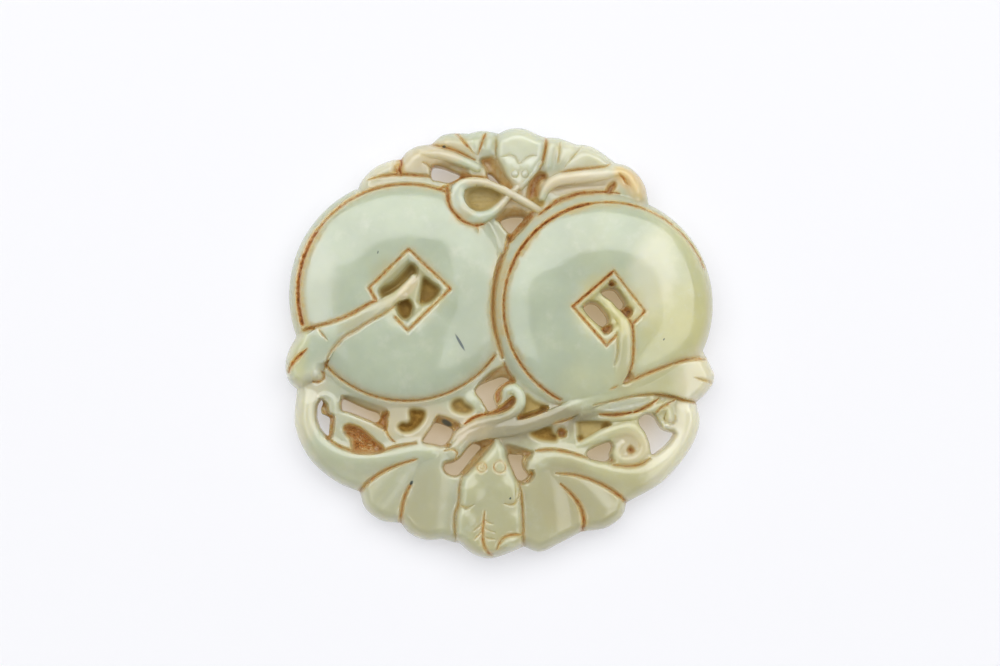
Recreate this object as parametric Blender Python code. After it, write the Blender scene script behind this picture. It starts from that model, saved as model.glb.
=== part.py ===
"""A carved jade pendant, one solid: two overlapping cash coins threaded with ribbon, between two bats, in openwork.

The plan is the outline and the openings. Over it the front is a height, built up by coins, mounds, ridges and bands
and cut by slopes, pits and grooves. The back is flat with eased edges. Plan and heights are in millimetres until the
mesh is made.
"""

import math

import bpy
import numpy as np
from mathutils import Vector
from mathutils.geometry import delaunay_2d_cdt

NAME = "jade_carving"
MM = 0.001

# Heights above the flat back
GROUND = 4.9
OUTLINE_EDGE = 2.3
OPENING_EDGE = 2.7
BACK_EDGE = 1.0

# How far in from an edge its rounding reaches
OUTLINE_ROUND = 1.5
OPENING_ROUND = 0.5
BACK_ROUND = 0.9

# Spacing of the mesh
EDGE_STEP = 0.9
FEATURE_STEP = 0.95
FRONT_STEP = 1.8
BACK_STEP = 4.0
CURVE_STEP = 0.3
CELL = 0.1

# Widths of the steps round what stands above its surroundings, round pits and round slopes
SOFT_STEP = 0.18
PIT_STEP = 0.7
SLOPE_STEP = 0.5

# A coin's face: it rises from its edge to a crown and dips again round the square hole
LEFT_COIN = {"centre": (-12.15, 6.3), "radius": 15.3, "edge": 4.0, "crown": 7.2, "dip": 0.6}
RIGHT_COIN = {"centre": (13.35, 5.05), "radius": 14.45, "edge": 4.3, "crown": 7.6, "dip": 0.6}
DIP_RADIUS = 5.5
TUCK_REACH = 9.0
TUCK_DEPTH = 0.6

# The right coin's rim is wider round these angles: angle and spread in degrees, and how much wider
RIM_SWELLS = ((135, 24, 0.4), (222, 22, 0.6))

# The outline, clockwise. Each lobe runs through its points from one notch to the next.
TOP_LEFT_NOTCH = (-18.5, 20.1)
TOP_RIGHT_NOTCH = (19.4, 18.6)
LEFT_NOTCH = (-26.5, 0.8)
RIGHT_NOTCH = (26.5, -1.0)
TOP_LOBES = (
    (TOP_LEFT_NOTCH, (-18.0, 21.2), (-16.3, 22.9), (-14.0, 23.9), (-12.9, 24.0)),
    ((-12.9, 24.0), (-12.2, 24.9), (-10.8, 25.7), (-8.9, 26.0)),
    ((-8.9, 26.0), (-7.6, 27.1), (-6.4, 27.4), (-4.1, 27.4)),
    ((-4.1, 27.4), (-2.4, 27.75), (-1.2, 27.6), (-0.2, 27.4)),
    ((-0.2, 27.4), (1.3, 28.0), (3.2, 28.0), (4.8, 27.3), (5.9, 26.9)),
    ((5.9, 26.9), (7.6, 26.8), (10.0, 26.0)),
    ((10.0, 26.0), (11.5, 25.85), (13.2, 25.0), (15.0, 23.6)),
    ((15.0, 23.6), (16.6, 23.2), (17.9, 22.2), (18.9, 20.7), TOP_RIGHT_NOTCH),
)
BOTTOM_LOBES = (
    (RIGHT_NOTCH, (27.3, -2.6), (28.0, -4.4), (27.2, -6.1), (25.6, -7.7)),
    ((25.6, -7.7), (26.05, -10.1), (25.15, -13.05), (21.4, -17.8), (16.5, -20.7)),
    ((16.5, -20.7), (16.0, -22.3), (14.0, -23.9), (10.6, -24.5)),
    ((10.6, -24.5), (7.9, -25.9), (5.2, -27.1), (3.1, -26.4)),
    ((3.1, -26.4), (1.3, -27.2), (-1.4, -27.95), (-3.6, -27.3), (-5.2, -26.0)),
    ((-5.2, -26.0), (-6.4, -25.75), (-7.4, -25.45)),
    ((-7.4, -25.45), (-9.8, -25.5), (-11.8, -24.6), (-12.85, -23.35)),
    ((-12.85, -23.35), (-15.4, -23.0), (-17.5, -21.4), (-18.2, -19.3)),
    ((-18.2, -19.3), (-21.1, -18.05), (-24.6, -15.1), (-26.6, -10.8), (-26.4, -5.95)),
    ((-26.4, -5.95), (-27.4, -5.0), (-27.9, -2.75), (-27.3, -0.6), LEFT_NOTCH),
)

# Openings cut right through
OPENINGS = {
    "left_wing_post": (
        (-23.15, -7.4), (-23.75, -9.1), (-23.2, -11.1), (-22.4, -12.0), (-22.1, -10.0), (-23.1, -9.2), (-23.0, -7.8),
    ),
    "left_wing_slot": (
        (-20.4, -7.3), (-20.45, -8.7), (-18.7, -9.25), (-16.05, -10.25), (-15.6, -9.7), (-17.2, -8.65), (-18.8, -7.95),
    ),
    "under_left_coin": ((-8.45, -10.4), (-6.15, -11.3), (-6.9, -12.9), (-7.5, -13.25), (-9.9, -12.75), (-9.2, -11.5)),
    "between_coins_low": (
        (0.4, -4.4), (1.2, -4.75), (-0.6, -6.2), (-0.7, -7.6), (-1.5, -8.8), (-3.1, -6.3), (-2.5, -5.5), (-1.3, -4.9),
    ),
    "between_coins_high": ((0.1, 15.85), (1.0, 16.35), (3.1, 16.35), (1.3, 14.35), (0.65, 14.9)),
    "left_of_loop": ((-8.9, 22.4), (-8.6, 22.9), (-7.3, 22.8), (-5.2, 21.85), (-6.5, 20.95), (-8.8, 21.35)),
    "left_of_face": ((-1.6, 22.1), (-1.2, 22.05), (0.0, 20.75), (-1.0, 21.2)),
    "head_left": (
        (-3.3, -13.1), (-2.5, -13.5), (-4.0, -15.4), (-5.3, -17.0), (-6.5, -17.0), (-7.1, -16.5), (-7.1, -15.85),
        (-5.5, -15.2), (-4.1, -13.6),
    ),
    "head_right": (
        (1.15, -14.5), (2.95, -14.6), (2.9, -15.8), (3.65, -17.15), (3.1, -17.75), (2.4, -17.75), (1.3, -15.4),
    ),
    "scroll_drop": ((11.4, -14.2), (12.7, -13.35), (14.3, -12.95), (14.2, -15.0), (13.4, -15.3), (11.5, -14.8)),
    "right_crescent": (
        (18.1, -9.95), (19.0, -9.3), (20.0, -9.6), (20.8, -11.0), (22.4, -11.65), (21.8, -12.95), (19.8, -14.4),
        (19.2, -12.2), (18.5, -10.9),
    ),
    "right_square_high": ((13.2, 6.5), (14.0, 6.9), (14.9, 6.85), (16.1, 5.1), (15.6, 4.4), (14.4, 5.5)),
    "right_square_low": ((10.9, 4.6), (11.6, 5.1), (12.5, 5.0), (13.9, 3.3), (13.9, 2.6), (13.2, 2.2), (12.3, 2.8)),
}

# Mounds are closed shapes with a rounded edge: top height, reach of the rounding, edge height, and points
MOUNDS = {
    "top_bat": (5.85, 1.0, 5.1, (
        (-0.45, 31.0), (-0.5, 24.4), (0.2, 22.8), (1.7, 20.4), (2.4, 20.0), (3.9, 21.4), (5.3, 23.5), (5.95, 31.0),
    )),
    "bottom_bat": (5.95, 0.9, 5.1, (
        (-0.45, -12.55), (-2.8, -15.25), (-4.95, -17.4), (-5.4, -20.9), (-5.85, -24.2), (-4.0, -29.0), (1.0, -29.5),
        (3.1, -28.0), (2.9, -23.0), (2.5, -18.4), (0.8, -14.9),
    )),
    "left_knob": (6.3, 1.8, 4.2, (
        (-24.4, 1.9), (-26.6, 0.9), (-28.9, -2.8), (-26.4, -6.1), (-24.2, -5.1), (-22.7, -3.5), (-21.4, -0.5),
        (-21.8, 0.6), (-23.1, 1.4),
    )),
}

# Ridges rise softly out of what lies beside them: crest, half width, and points
RIDGES = {
    "left_wing_lip": (5.35, 2.1, (
        (-25.0, -8.0), (-24.0, -12.4), (-20.0, -14.9), (-16.9, -15.1), (-11.5, -14.2), (-9.0, -14.1),
    )),
    "right_wing_lip": (5.35, 2.3, (
        (24.6, -9.0), (23.4, -13.3), (18.6, -16.9), (12.0, -16.1), (8.6, -15.1), (5.0, -15.8),
    )),
    "left_wing_mid": (5.15, 2.5, ((-11.5, -14.6), (-14.6, -18.6), (-16.2, -21.0))),
    "left_wing_low": (5.15, 3.2, ((-8.6, -14.6), (-8.9, -19.5), (-9.2, -23.5))),
    "right_wing_mid": (5.15, 2.5, ((7.0, -16.0), (10.6, -18.9), (13.4, -21.8))),
    "right_wing_low": (5.15, 3.4, ((5.3, -16.5), (6.2, -20.6), (6.6, -24.6))),
    "crossing": (5.45, 2.1, ((-5.6, -13.6), (-4.0, -11.9), (1.0, -10.4), (4.0, -10.4), (7.0, -9.8))),
    "lens_film": (5.95, 1.7, ((12.6, -8.3), (16.0, -8.0), (19.4, -7.2))),
    "top_left_leaf": (5.2, 1.4, ((-17.4, 21.6), (-15.4, 22.6), (-13.6, 23.0))),
    "top_left_fan": (5.18, 1.1, ((-7.8, 26.4), (-5.4, 25.8), (-3.6, 25.0))),
    "top_right_fan": (5.18, 1.1, ((9.1, 25.4), (8.1, 24.0))),
    "top_right_shoulder": (5.35, 1.2, ((14.6, 22.9), (16.4, 22.2), (17.6, 20.6), (18.0, 19.6))),
}

# Slopes fall from a high place to a low one, both as (x, y, height), over a closed area given by its points
SLOPES = {
    "slot_roof": ((-18.0, -7.2, 4.6), (-18.4, -8.2, 3.4), (
        (-20.5, -7.0), (-17.2, -7.7), (-14.6, -8.6), (-15.4, -9.3), (-20.45, -7.4),
    )),
    "under_left_roof": ((-7.3, -9.4, 4.4), (-7.8, -10.6, 2.9), (
        (-8.1, -9.45), (-5.5, -10.4), (-5.8, -11.3), (-8.5, -10.6),
    )),
    "coins_roof": ((-0.2, -3.1, 4.2), (-0.6, -4.8, 2.9), (
        (0.5, -2.9), (1.5, -4.5), (-1.3, -5.0), (-2.7, -5.5), (-1.6, -4.2), (-0.4, -3.3),
    )),
    "high_gap_roof": ((1.6, 17.6, 4.9), (1.6, 16.1, 3.0), (
        (-0.5, 16.1), (1.0, 17.8), (2.0, 17.9), (3.5, 16.4), (0.1, 15.7),
    )),
    "high_gap_wall": ((3.5, 15.3, 4.1), (2.4, 15.5, 2.5), (
        (1.25, 14.2), (4.4, 17.1), (3.2, 15.1), (1.2, 13.1), (0.95, 13.7),
    )),
    "arm_wall": ((-7.4, 24.2, 5.4), (-7.0, 22.9, 4.1), (
        (-9.7, 24.2), (-8.5, 24.2), (-4.3, 22.6), (-5.3, 21.9), (-8.0, 22.9), (-9.3, 23.2),
    )),
    "head_wall": ((-2.5, -15.0, 4.5), (-3.3, -14.4, 2.9), (
        (-0.8, -12.5), (-3.1, -14.3), (-5.1, -16.8), (-4.7, -17.1), (-2.4, -14.6), (-1.2, -13.2),
    )),
    "head_roof": ((-2.2, -12.2, 4.4), (-2.9, -13.3, 3.0), ((-3.9, -12.1), (-0.8, -12.2), (-2.2, -13.6), (-3.5, -13.2))),
    "head_roof_right": ((1.2, -12.9, 4.7), (1.6, -14.4, 3.0), (
        (0.5, -12.95), (3.9, -14.3), (3.2, -14.9), (1.2, -14.5), (0.75, -13.7),
    )),
}

# Blind pits as floor height and points
PITS = {
    "hook_slot": (3.4, ((-22.95, -7.6), (-22.35, -8.6), (-22.7, -9.35), (-23.2, -8.3))),
    "wing_drill": (3.0, (
        (-20.2, -11.0), (-19.0, -10.75), (-17.3, -11.7), (-15.2, -13.6), (-16.8, -14.15), (-19.0, -13.95),
        (-19.5, -12.1),
    )),
    "slot_corner": (2.2, ((-16.2, -10.4), (-14.6, -9.0), (-14.85, -11.2))),
    "s_curl": (3.8, ((-11.6, -8.8), (-9.9, -8.95), (-10.2, -10.2), (-11.7, -11.4), (-13.1, -10.9), (-11.8, -10.3))),
    "comma": (4.1, ((-6.3, -8.1), (-5.3, -7.3), (-3.6, -8.7), (-4.9, -9.1), (-5.9, -8.8))),
    "volute_heart": (2.4, ((1.95, -7.2), (1.0, -8.6), (-1.9, -9.2), (-0.8, -8.6), (0.9, -7.6))),
    "under_right_coin": (4.3, ((3.4, -6.8), (5.9, -8.3), (3.0, -9.3))),
    "under_right_slot": (2.7, ((2.3, -9.9), (4.9, -8.8), (6.1, -8.35), (5.2, -9.2), (2.8, -10.1))),
    "ribbon_hollow": (4.0, ((4.0, -11.8), (5.9, -11.0), (7.4, -12.1), (6.2, -12.6))),
    "ribbon_drill": (3.0, ((7.4, -11.7), (8.0, -11.2), (8.5, -11.7), (8.0, -12.2))),
    "scroll_corner": (4.2, ((10.1, -10.1), (13.9, -10.3), (14.3, -10.9), (11.8, -12.1), (10.2, -12.3))),
    "scroll_eye": (3.7, ((16.4, -13.9), (16.9, -13.4), (17.4, -13.9), (16.9, -14.4))),
    "head_notch": (3.4, ((3.8, -14.1), (4.15, -14.15), (3.3, -16.1), (2.95, -15.2))),
    "head_hook": (3.3, ((3.9, -16.6), (4.3, -16.8), (3.7, -18.0), (2.4, -17.95), (3.75, -17.3))),
    "loop_heart": (4.2, ((-4.4, 18.9), (-3.0, 20.15), (0.15, 19.2), (-0.9, 17.8), (-2.6, 17.1), (-4.1, 17.8))),
    "loop_corner": (3.0, ((-5.6, 21.5), (-4.5, 22.0), (-4.0, 21.7), (-6.1, 20.7))),
    "left_of_chin": (3.2, ((-2.5, 23.7), (-1.3, 23.95), (0.2, 21.2), (1.2, 20.2), (0.1, 20.35), (-1.5, 21.6))),
    "right_of_chin": (3.4, ((5.95, 21.9), (4.95, 20.4), (4.8, 18.9), (3.6, 18.7), (3.85, 20.6), (5.1, 22.1))),
    "under_chin": (4.4, ((3.9, 18.6), (5.4, 18.6), (5.0, 17.6))),
    "arm_hollow": (4.6, ((6.4, 19.6), (7.6, 20.6), (13.9, 20.9), (12.0, 19.7), (7.2, 18.9))),
    "leaf_crack": (4.2, ((-13.0, 24.2), (-12.6, 21.9), (-13.9, 22.3))),
    "left_square": (6.1, ((-15.7, 7.0), (-11.9, 10.6), (-7.8, 6.7), (-12.1, 2.6))),
    "left_square_slot": (4.0, ((-15.5, 6.6), (-13.8, 6.5), (-11.1, 8.6), (-11.5, 10.0), (-13.9, 7.7))),
    "left_square_right": (4.4, ((-9.9, 8.2), (-8.0, 6.8), (-9.4, 5.2), (-10.5, 5.2))),
    "left_square_low": (4.1, ((-13.2, 5.2), (-12.3, 5.7), (-11.4, 4.3), (-12.4, 3.1))),
    "right_square": (6.45, ((14.4, 8.1), (17.2, 4.3), (13.5, 0.9), (10.2, 4.5))),
    "lens": (5.5, ((12.9, -8.5), (17.0, -7.4), (19.8, -7.1), (16.8, -8.8), (14.4, -9.05))),
}
SQUARE_PITS = ("left_square", "right_square")

# Bands follow a path of (x, y, half width, crest height) and stand over what they cross
BANDS = {
    "scroll": (
        (10.1, -13.3, 0.4, 5.05), (13.6, -11.8, 0.75, 5.2), (16.9, -11.1, 0.9, 5.2), (18.75, -13.4, 0.8, 5.2),
        (16.8, -15.2, 0.7, 5.2), (15.4, -15.0, 0.65, 5.15), (15.8, -12.95, 0.45, 5.05),
    ),
    "volute": (
        (-6.4, -12.6, 0.6, 5.1), (-3.6, -10.9, 0.75, 5.4), (0.2, -9.8, 0.65, 5.5), (2.6, -7.8, 0.65, 5.7),
        (1.6, -5.95, 0.6, 5.6), (0.55, -6.9, 0.4, 5.1),
    ),
    "under_ribbon": ((9.8, -9.9, 0.3, 5.3), (14.5, -9.75, 0.4, 5.4), (18.9, -8.9, 0.5, 5.5), (22.0, -7.6, 0.45, 5.2)),
    "cross_ribbon": (
        (-6.2, -14.5, 0.5, 5.1), (-4.2, -12.3, 0.95, 5.4), (0.5, -11.1, 1.1, 5.5), (5.4, -10.1, 0.95, 5.6),
        (10.0, -8.2, 1.0, 6.1), (14.6, -6.5, 0.95, 6.5), (18.6, -5.45, 1.3, 6.4), (22.6, -4.85, 2.1, 6.2),
        (26.0, -4.8, 2.9, 5.9), (29.0, -4.8, 3.0, 5.7),
    ),
    "right_ribbon": (
        (12.7, 6.1, 0.45, 6.2), (14.9, 3.8, 0.6, 6.8), (16.1, 1.4, 0.85, 7.5), (16.05, -1.3, 1.0, 7.5),
        (15.2, -4.2, 1.05, 7.15), (12.9, -6.5, 0.95, 6.45),
    ),
    "left_ribbon": (
        (-11.2, 8.5, 0.4, 6.0), (-13.4, 6.0, 0.65, 6.5), (-15.9, 4.4, 0.9, 7.15), (-19.4, 2.35, 1.15, 7.15),
        (-22.4, 0.6, 1.75, 6.6), (-23.6, -0.6, 2.2, 6.4),
    ),
    "left_ribbon_end": ((-11.15, 8.5, 0.35, 6.0), (-10.75, 6.0, 0.35, 5.8), (-11.2, 3.9, 0.35, 5.5)),
    "loop_under": (
        (-5.75, 19.0, 0.95, 6.2), (-4.3, 16.7, 0.85, 6.2), (-1.3, 16.7, 0.6, 6.1), (0.9, 18.8, 0.4, 6.0),
        (2.1, 20.1, 0.4, 5.9),
    ),
    "loop_over": (
        (-5.75, 18.9, 0.95, 6.2), (-4.2, 20.75, 0.7, 6.25), (-1.0, 20.45, 0.5, 6.35), (3.2, 18.3, 0.5, 6.2),
        (6.2, 16.5, 0.25, 4.8),
    ),
    "top_left_arm": ((-10.4, 24.9, 0.5, 5.1), (-6.4, 24.1, 0.65, 5.5), (-3.0, 22.7, 0.5, 5.6)),
    "top_right_arm": (
        (5.4, 18.9, 0.45, 5.5), (6.5, 20.6, 0.7, 5.75), (9.5, 21.45, 0.8, 5.65), (15.9, 21.8, 0.4, 5.1),
    ),
}
BAND_SAG = 0.38

# Engraved lines: half width, then depth, for the coins' rings and for the rest
RING_LINE = (0.45, 0.45)
FINE_LINE = (0.35, 0.35)

# The rings as centre, radius, and start and end angle
RING_LINES = (((-12.15, 6.5), 14.05, 66, 197), ((-12.15, 6.5), 14.05, 222, 325), ((13.95, 4.65), 13.55, 22, 243))
SQUARE_LINES = {
    "left": ((-17.0, 7.0), (-11.9, 12.0), (-6.5, 6.9), (-12.0, 1.5), (-13.6, 3.2)),
    "right": ((17.0, 2.3), (18.6, 4.0), (14.6, 9.2), (9.3, 4.6), (13.65, -0.4), (15.0, 1.0)),
}
FINE_LINES = {
    "left_wing_outer": ((-18.2, -19.3), (-15.0, -16.6), (-10.9, -15.1)),
    "left_wing_inner": ((-12.85, -23.3), (-12.5, -20.4), (-11.55, -18.3)),
    "left_wing_top": ((-23.9, -11.2), (-21.1, -13.35), (-17.0, -14.25), (-10.9, -13.0)),
    "right_wing_outer": ((7.2, -16.9), (12.2, -17.9), (16.5, -20.7)),
    "right_wing_inner": ((7.8, -18.3), (10.3, -21.1), (10.7, -24.5)),
    "right_wing_top": ((4.6, -14.0), (6.8, -13.85), (11.4, -15.0)),
    "left_rim_top": ((-17.2, 21.1), (-13.2, 21.85), (-8.85, 21.5)),
    "right_rim_top": ((4.9, 16.55), (7.3, 18.35), (12.0, 19.55), (15.5, 19.4)),
    "top_left_outer": ((-9.0, 25.85), (-5.8, 24.95), (-3.3, 23.75)),
    "top_left_middle": ((-5.65, 27.3), (-4.1, 25.3), (-3.5, 24.6)),
    "top_left_inner": ((-1.9, 27.2), (-2.85, 24.5)),
    "top_right_inner": ((7.75, 26.0), (7.45, 23.4)),
    "top_right_outer": ((10.9, 25.8), (8.3, 22.8)),
    "top_right_arm": ((7.9, 22.1), (12.0, 22.75), (14.5, 23.4)),
}

JADE = {"colour": (0.60, 0.66, 0.50, 1.0), "roughness": 0.18}


def smooth(points, step, closed=False):
    """Points about a step apart on a smooth curve through the given ones. Columns past x and y are carried along."""
    points = np.array(points, float)
    if closed:
        points = np.concatenate([points[-1:], points, points[:2]])
    else:
        points = np.concatenate([[2 * points[0] - points[1]], points, [2 * points[-1] - points[-2]]])
    knots = np.cumsum([0, *np.sqrt(np.linalg.norm(np.diff(points[:, :2], axis=0), axis=1))])
    curve = []
    for i in range(1, len(points) - 2):
        before, start, end, after = points[i - 1 : i + 3]
        t0, t1, t2, t3 = knots[i - 1 : i + 3]
        span = t2 - t1
        leave = span * ((start - before) / (t1 - t0) - (end - before) / (t2 - t0) + (end - start) / span)
        arrive = span * ((end - start) / span - (after - start) / (t3 - t1) + (after - end) / (t3 - t2))
        count = max(1, round(np.linalg.norm((end - start)[:2]) / step))
        t = (np.arange(count) / count)[:, None]
        curve.append(
            (2 * t**3 - 3 * t**2 + 1) * start
            + (t**3 - 2 * t**2 + t) * leave
            + (3 * t**2 - 2 * t**3) * end
            + (t**3 - t**2) * arrive
        )
    if not closed:
        curve.append(points[-2:-1])
    return np.concatenate(curve)


def arc(centre, radius, start, end, step):
    """Points on a circle from one angle to another, in degrees."""
    count = max(2, round(math.radians(abs(start - end)) * radius / step))
    angles = np.radians(np.linspace(start, end, count + 1))
    return np.array(centre) + radius * np.column_stack([np.cos(angles), np.sin(angles)])


def bearing(centre, point):
    return math.degrees(math.atan2(point[1] - centre[1], point[0] - centre[0]))


def outline(step):
    """The silhouette, clockwise from the left notch."""
    left, right = LEFT_COIN, RIGHT_COIN
    left_side = bearing(left["centre"], LEFT_NOTCH) + 360, bearing(left["centre"], TOP_LEFT_NOTCH)
    right_side = bearing(right["centre"], TOP_RIGHT_NOTCH), bearing(right["centre"], RIGHT_NOTCH)
    first = arc(left["centre"], left["radius"], *left_side, step)
    second = arc(right["centre"], right["radius"], *right_side, step)
    top = [smooth(lobe, step)[:-1] for lobe in TOP_LOBES]
    bottom = [smooth(lobe, step)[:-1] for lobe in BOTTOM_LOBES]
    return np.concatenate([first[1:-1], *top, second[1:-1], *bottom])


def inside(points, ring):
    """Which points lie inside a closed ring."""
    x, y = points[:, :1], points[:, 1:2]
    ax, ay = ring[:, 0], ring[:, 1]
    bx, by = np.roll(ax, -1), np.roll(ay, -1)
    crossed = (ay > y) != (by > y)
    rise = np.where(by == ay, 1.0, by - ay)
    return (crossed & (x < ax + (y - ay) * (bx - ax) / rise)).sum(axis=1) % 2 == 1


def nearest(points, path):
    """Each point's distance to a path, and the path's own columns at the place nearest to it."""
    start, along = path[:-1], np.diff(path, axis=0)
    flat = along[:, :2]
    t = ((points[:, None] - start[:, :2]) * flat).sum(axis=2) / (flat**2).sum(axis=1)
    t = np.clip(t, 0, 1)
    gaps = np.linalg.norm(points[:, None] - start[:, :2] - t[..., None] * flat, axis=2)
    which = gaps.argmin(axis=1)
    rows = np.arange(len(points))
    return gaps[rows, which], start[which] + t[rows, which, None] * along[which]


def ring_distance(points, ring):
    """Distance to a closed ring, positive inside it."""
    gaps, _ = nearest(points, np.concatenate([ring, ring[:1]]))
    return np.where(inside(points, ring), gaps, -gaps)


def closed_shape(points):
    return smooth(points, CURVE_STEP, closed=True)


def pit_ring(name):
    """A pit's edge: straight from corner to corner in the square holes, a smooth curve elsewhere."""
    points = PITS[name][1]
    return np.array(points) if name in SQUARE_PITS else closed_shape(points)


def ease(value):
    """0 below 0, 1 above 1, and smooth between."""
    value = np.clip(value, 0, 1)
    return value * value * (3 - 2 * value)


def quarter_round(value):
    """A quarter circle's rise, from 0 at 0 to 1 at 1."""
    return np.sqrt(1 - (1 - np.clip(value, 0, 1)) ** 2)


def over(height, new, mask):
    return height + (new - height) * mask


def coin_face(points, coin, swells=()):
    """A coin's height and how far inside its rim each point is."""
    away = points - coin["centre"]
    reach = np.linalg.norm(away, axis=1)
    angle = np.degrees(np.arctan2(away[:, 1], away[:, 0]))
    radius = np.full(len(points), coin["radius"])
    for middle, spread, wider in swells:
        radius += wider * np.exp(-((((angle - middle + 180) % 360 - 180) / spread) ** 2))
    dome = np.clip(1 - (reach / radius) ** 3.2, 0, 1) ** 0.6
    dip = coin["dip"] * np.exp(-((reach / DIP_RADIUS) ** 2))
    return coin["edge"] + (coin["crown"] - coin["edge"]) * dome - dip, radius - reach


def raised(points):
    """The coins, one tucked under the other, and the mounds and ridges beside them."""
    left_face, left_depth = coin_face(points, LEFT_COIN)
    right_face, right_depth = coin_face(points, RIGHT_COIN, RIM_SWELLS)
    left_face -= TUCK_DEPTH * ease(1 + right_depth / TUCK_REACH)
    right_face += TUCK_DEPTH * ease(left_depth / TUCK_REACH) * ease(1 - right_depth / TUCK_REACH)
    height = np.full(len(points), GROUND)
    height = over(height, left_face, ease(0.5 + left_depth / SOFT_STEP))
    height = over(height, right_face, ease(0.5 + right_depth / SOFT_STEP))
    for top, reach, edge, ring in MOUNDS.values():
        depth = ring_distance(points, closed_shape(ring))
        height = over(height, edge + (top - edge) * quarter_round(depth / reach), ease(0.5 + depth / SOFT_STEP))
    for crest, width, path in RIDGES.values():
        gaps, _ = nearest(points, smooth(path, CURVE_STEP))
        height = np.maximum(height, GROUND + (crest - GROUND) * ease(1 - gaps / width))
    return height


def cut(points, height):
    """The slopes and pits taken out of a height."""
    for high, low, ring in SLOPES.values():
        depth = ring_distance(points, closed_shape(ring))
        fall = np.array(low[:2]) - high[:2]
        along = (points - high[:2]) @ fall / (fall @ fall)
        plane = high[2] + (low[2] - high[2]) * np.clip(along, -0.3, 1.1)
        height = over(height, np.minimum(height, plane), ease(0.5 + depth / SLOPE_STEP))
    for name, (floor, _) in PITS.items():
        depth = ring_distance(points, pit_ring(name))
        height = over(height, np.minimum(height, floor), ease(0.5 + depth / PIT_STEP))
    return height


def front(points):
    """Height of the carved front over each point of the plan, before the edges are rounded."""
    height = cut(points, raised(points))
    for path in BANDS.values():
        gaps, at = nearest(points, smooth(path, CURVE_STEP))
        sag = BAND_SAG * np.clip(0.6 / at[:, 2], 0, 1)
        crest = at[:, 3] - sag * np.clip(gaps / at[:, 2], 0, 1) ** 2.5
        height = over(height, np.maximum(height, crest), ease(0.5 + (at[:, 2] - gaps) / SOFT_STEP))
    for half_width, depth, path in engraved_lines():
        gaps, _ = nearest(points, path)
        height -= depth * ease(1 - gaps / half_width)
    return height


def engraved_lines():
    """Every line as half width, depth and points."""
    for ring in RING_LINES:
        yield *RING_LINE, arc(*ring, CURVE_STEP)
    for corners in SQUARE_LINES.values():
        yield *FINE_LINE, np.array(corners)
    for points in FINE_LINES.values():
        yield *FINE_LINE, smooth(points, CURVE_STEP)


class Plan:
    """The points of a plan, none crowding another."""

    def __init__(self, rings):
        self.rings = rings
        self.low = rings[0].min(axis=0) - 2
        self.taken = np.zeros(np.ceil((rings[0].max(axis=0) + 2 - self.low) / CELL).astype(int), bool)
        self.points = np.empty((0, 2))
        self.keep(np.concatenate(rings))

    def cells(self, points):
        return np.floor((points - self.low) / CELL).astype(int).T

    def keep(self, points):
        self.taken[tuple(self.cells(points))] = True
        self.points = np.concatenate([self.points, points])

    def add(self, points, clearance):
        """Adds the points that lie on the material and at least the clearance from those already there."""
        points = points[inside(points, self.rings[0])]
        for ring in self.rings[1:]:
            points = points[~inside(points, ring)]
        across, up = self.cells(points)
        reach = int(clearance / CELL)
        crowded = np.zeros(len(points), bool)
        for x in range(-reach, reach + 1):
            for y in range(-reach, reach + 1):
                if x * x + y * y <= reach * reach:
                    crowded |= self.taken[across + x, up + y]
        self.keep(points[~crowded])

    def triangles(self):
        """The plan's points, where two that coincide are one, and its triangles, anticlockwise."""
        edges, first = [], 0
        for ring in self.rings:
            numbers = first + np.arange(len(ring))
            edges += np.column_stack([numbers, np.roll(numbers, -1)]).tolist()
            first += len(ring)
        found = delaunay_2d_cdt([Vector(p) for p in self.points.tolist()], edges, [], 0, 1e-6)
        points, faces = np.array(found[0]), np.array(found[2])
        middles = points[faces].mean(axis=1)
        kept = inside(middles, self.rings[0])
        for ring in self.rings[1:]:
            kept &= ~inside(middles, ring)
        return points, faces[kept]


def beside(path, offset, step, closed=False):
    """Points a step apart beside a path, offset to its left."""
    lengths = np.cumsum([0, *np.linalg.norm(np.diff(path, axis=0), axis=1)])
    count = max(2, round(lengths[-1] / step))
    at = np.linspace(0, lengths[-1], count + 1)
    line = np.column_stack([np.interp(at, lengths, path[:, 0]), np.interp(at, lengths, path[:, 1])])
    return (line + offset * normals(line))[: count if closed else None]


def normals(path):
    along = np.gradient(path[:, :2], axis=0)
    along /= np.maximum(np.linalg.norm(along, axis=1, keepdims=True), 1e-9)
    return np.column_stack([-along[:, 1], along[:, 0]])


def signed_area(ring):
    after = np.roll(ring, -1, axis=0)
    return (ring[:, 0] * after[:, 1] - after[:, 0] * ring[:, 1]).sum() / 2


def edge_rows(plan, outer, inner, step):
    """Rows alongside every edge, at the given distances in from the outline and from the openings."""
    for ring in plan.rings:
        turn = 1 if (signed_area(ring) > 0) == (ring is plan.rings[0]) else -1
        closed = np.concatenate([ring, ring[:1]])
        for distance in outer if ring is plan.rings[0] else inner:
            row = beside(closed, turn * distance, step / 3, closed=True)
            plan.add(row[::3], 0.5 * distance)
            for gap_filler in (row[1::3], row[2::3]):
                plan.add(gap_filler, 0.65 * step)


def step_rows(plan, path, width=SOFT_STEP, closed=False):
    """A pair of rows at the top and the foot of a step."""
    rows = [beside(path, side * 0.5 * width, FEATURE_STEP, closed) for side in (-1, 1)]
    plan.add(np.concatenate(rows), width)


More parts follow.
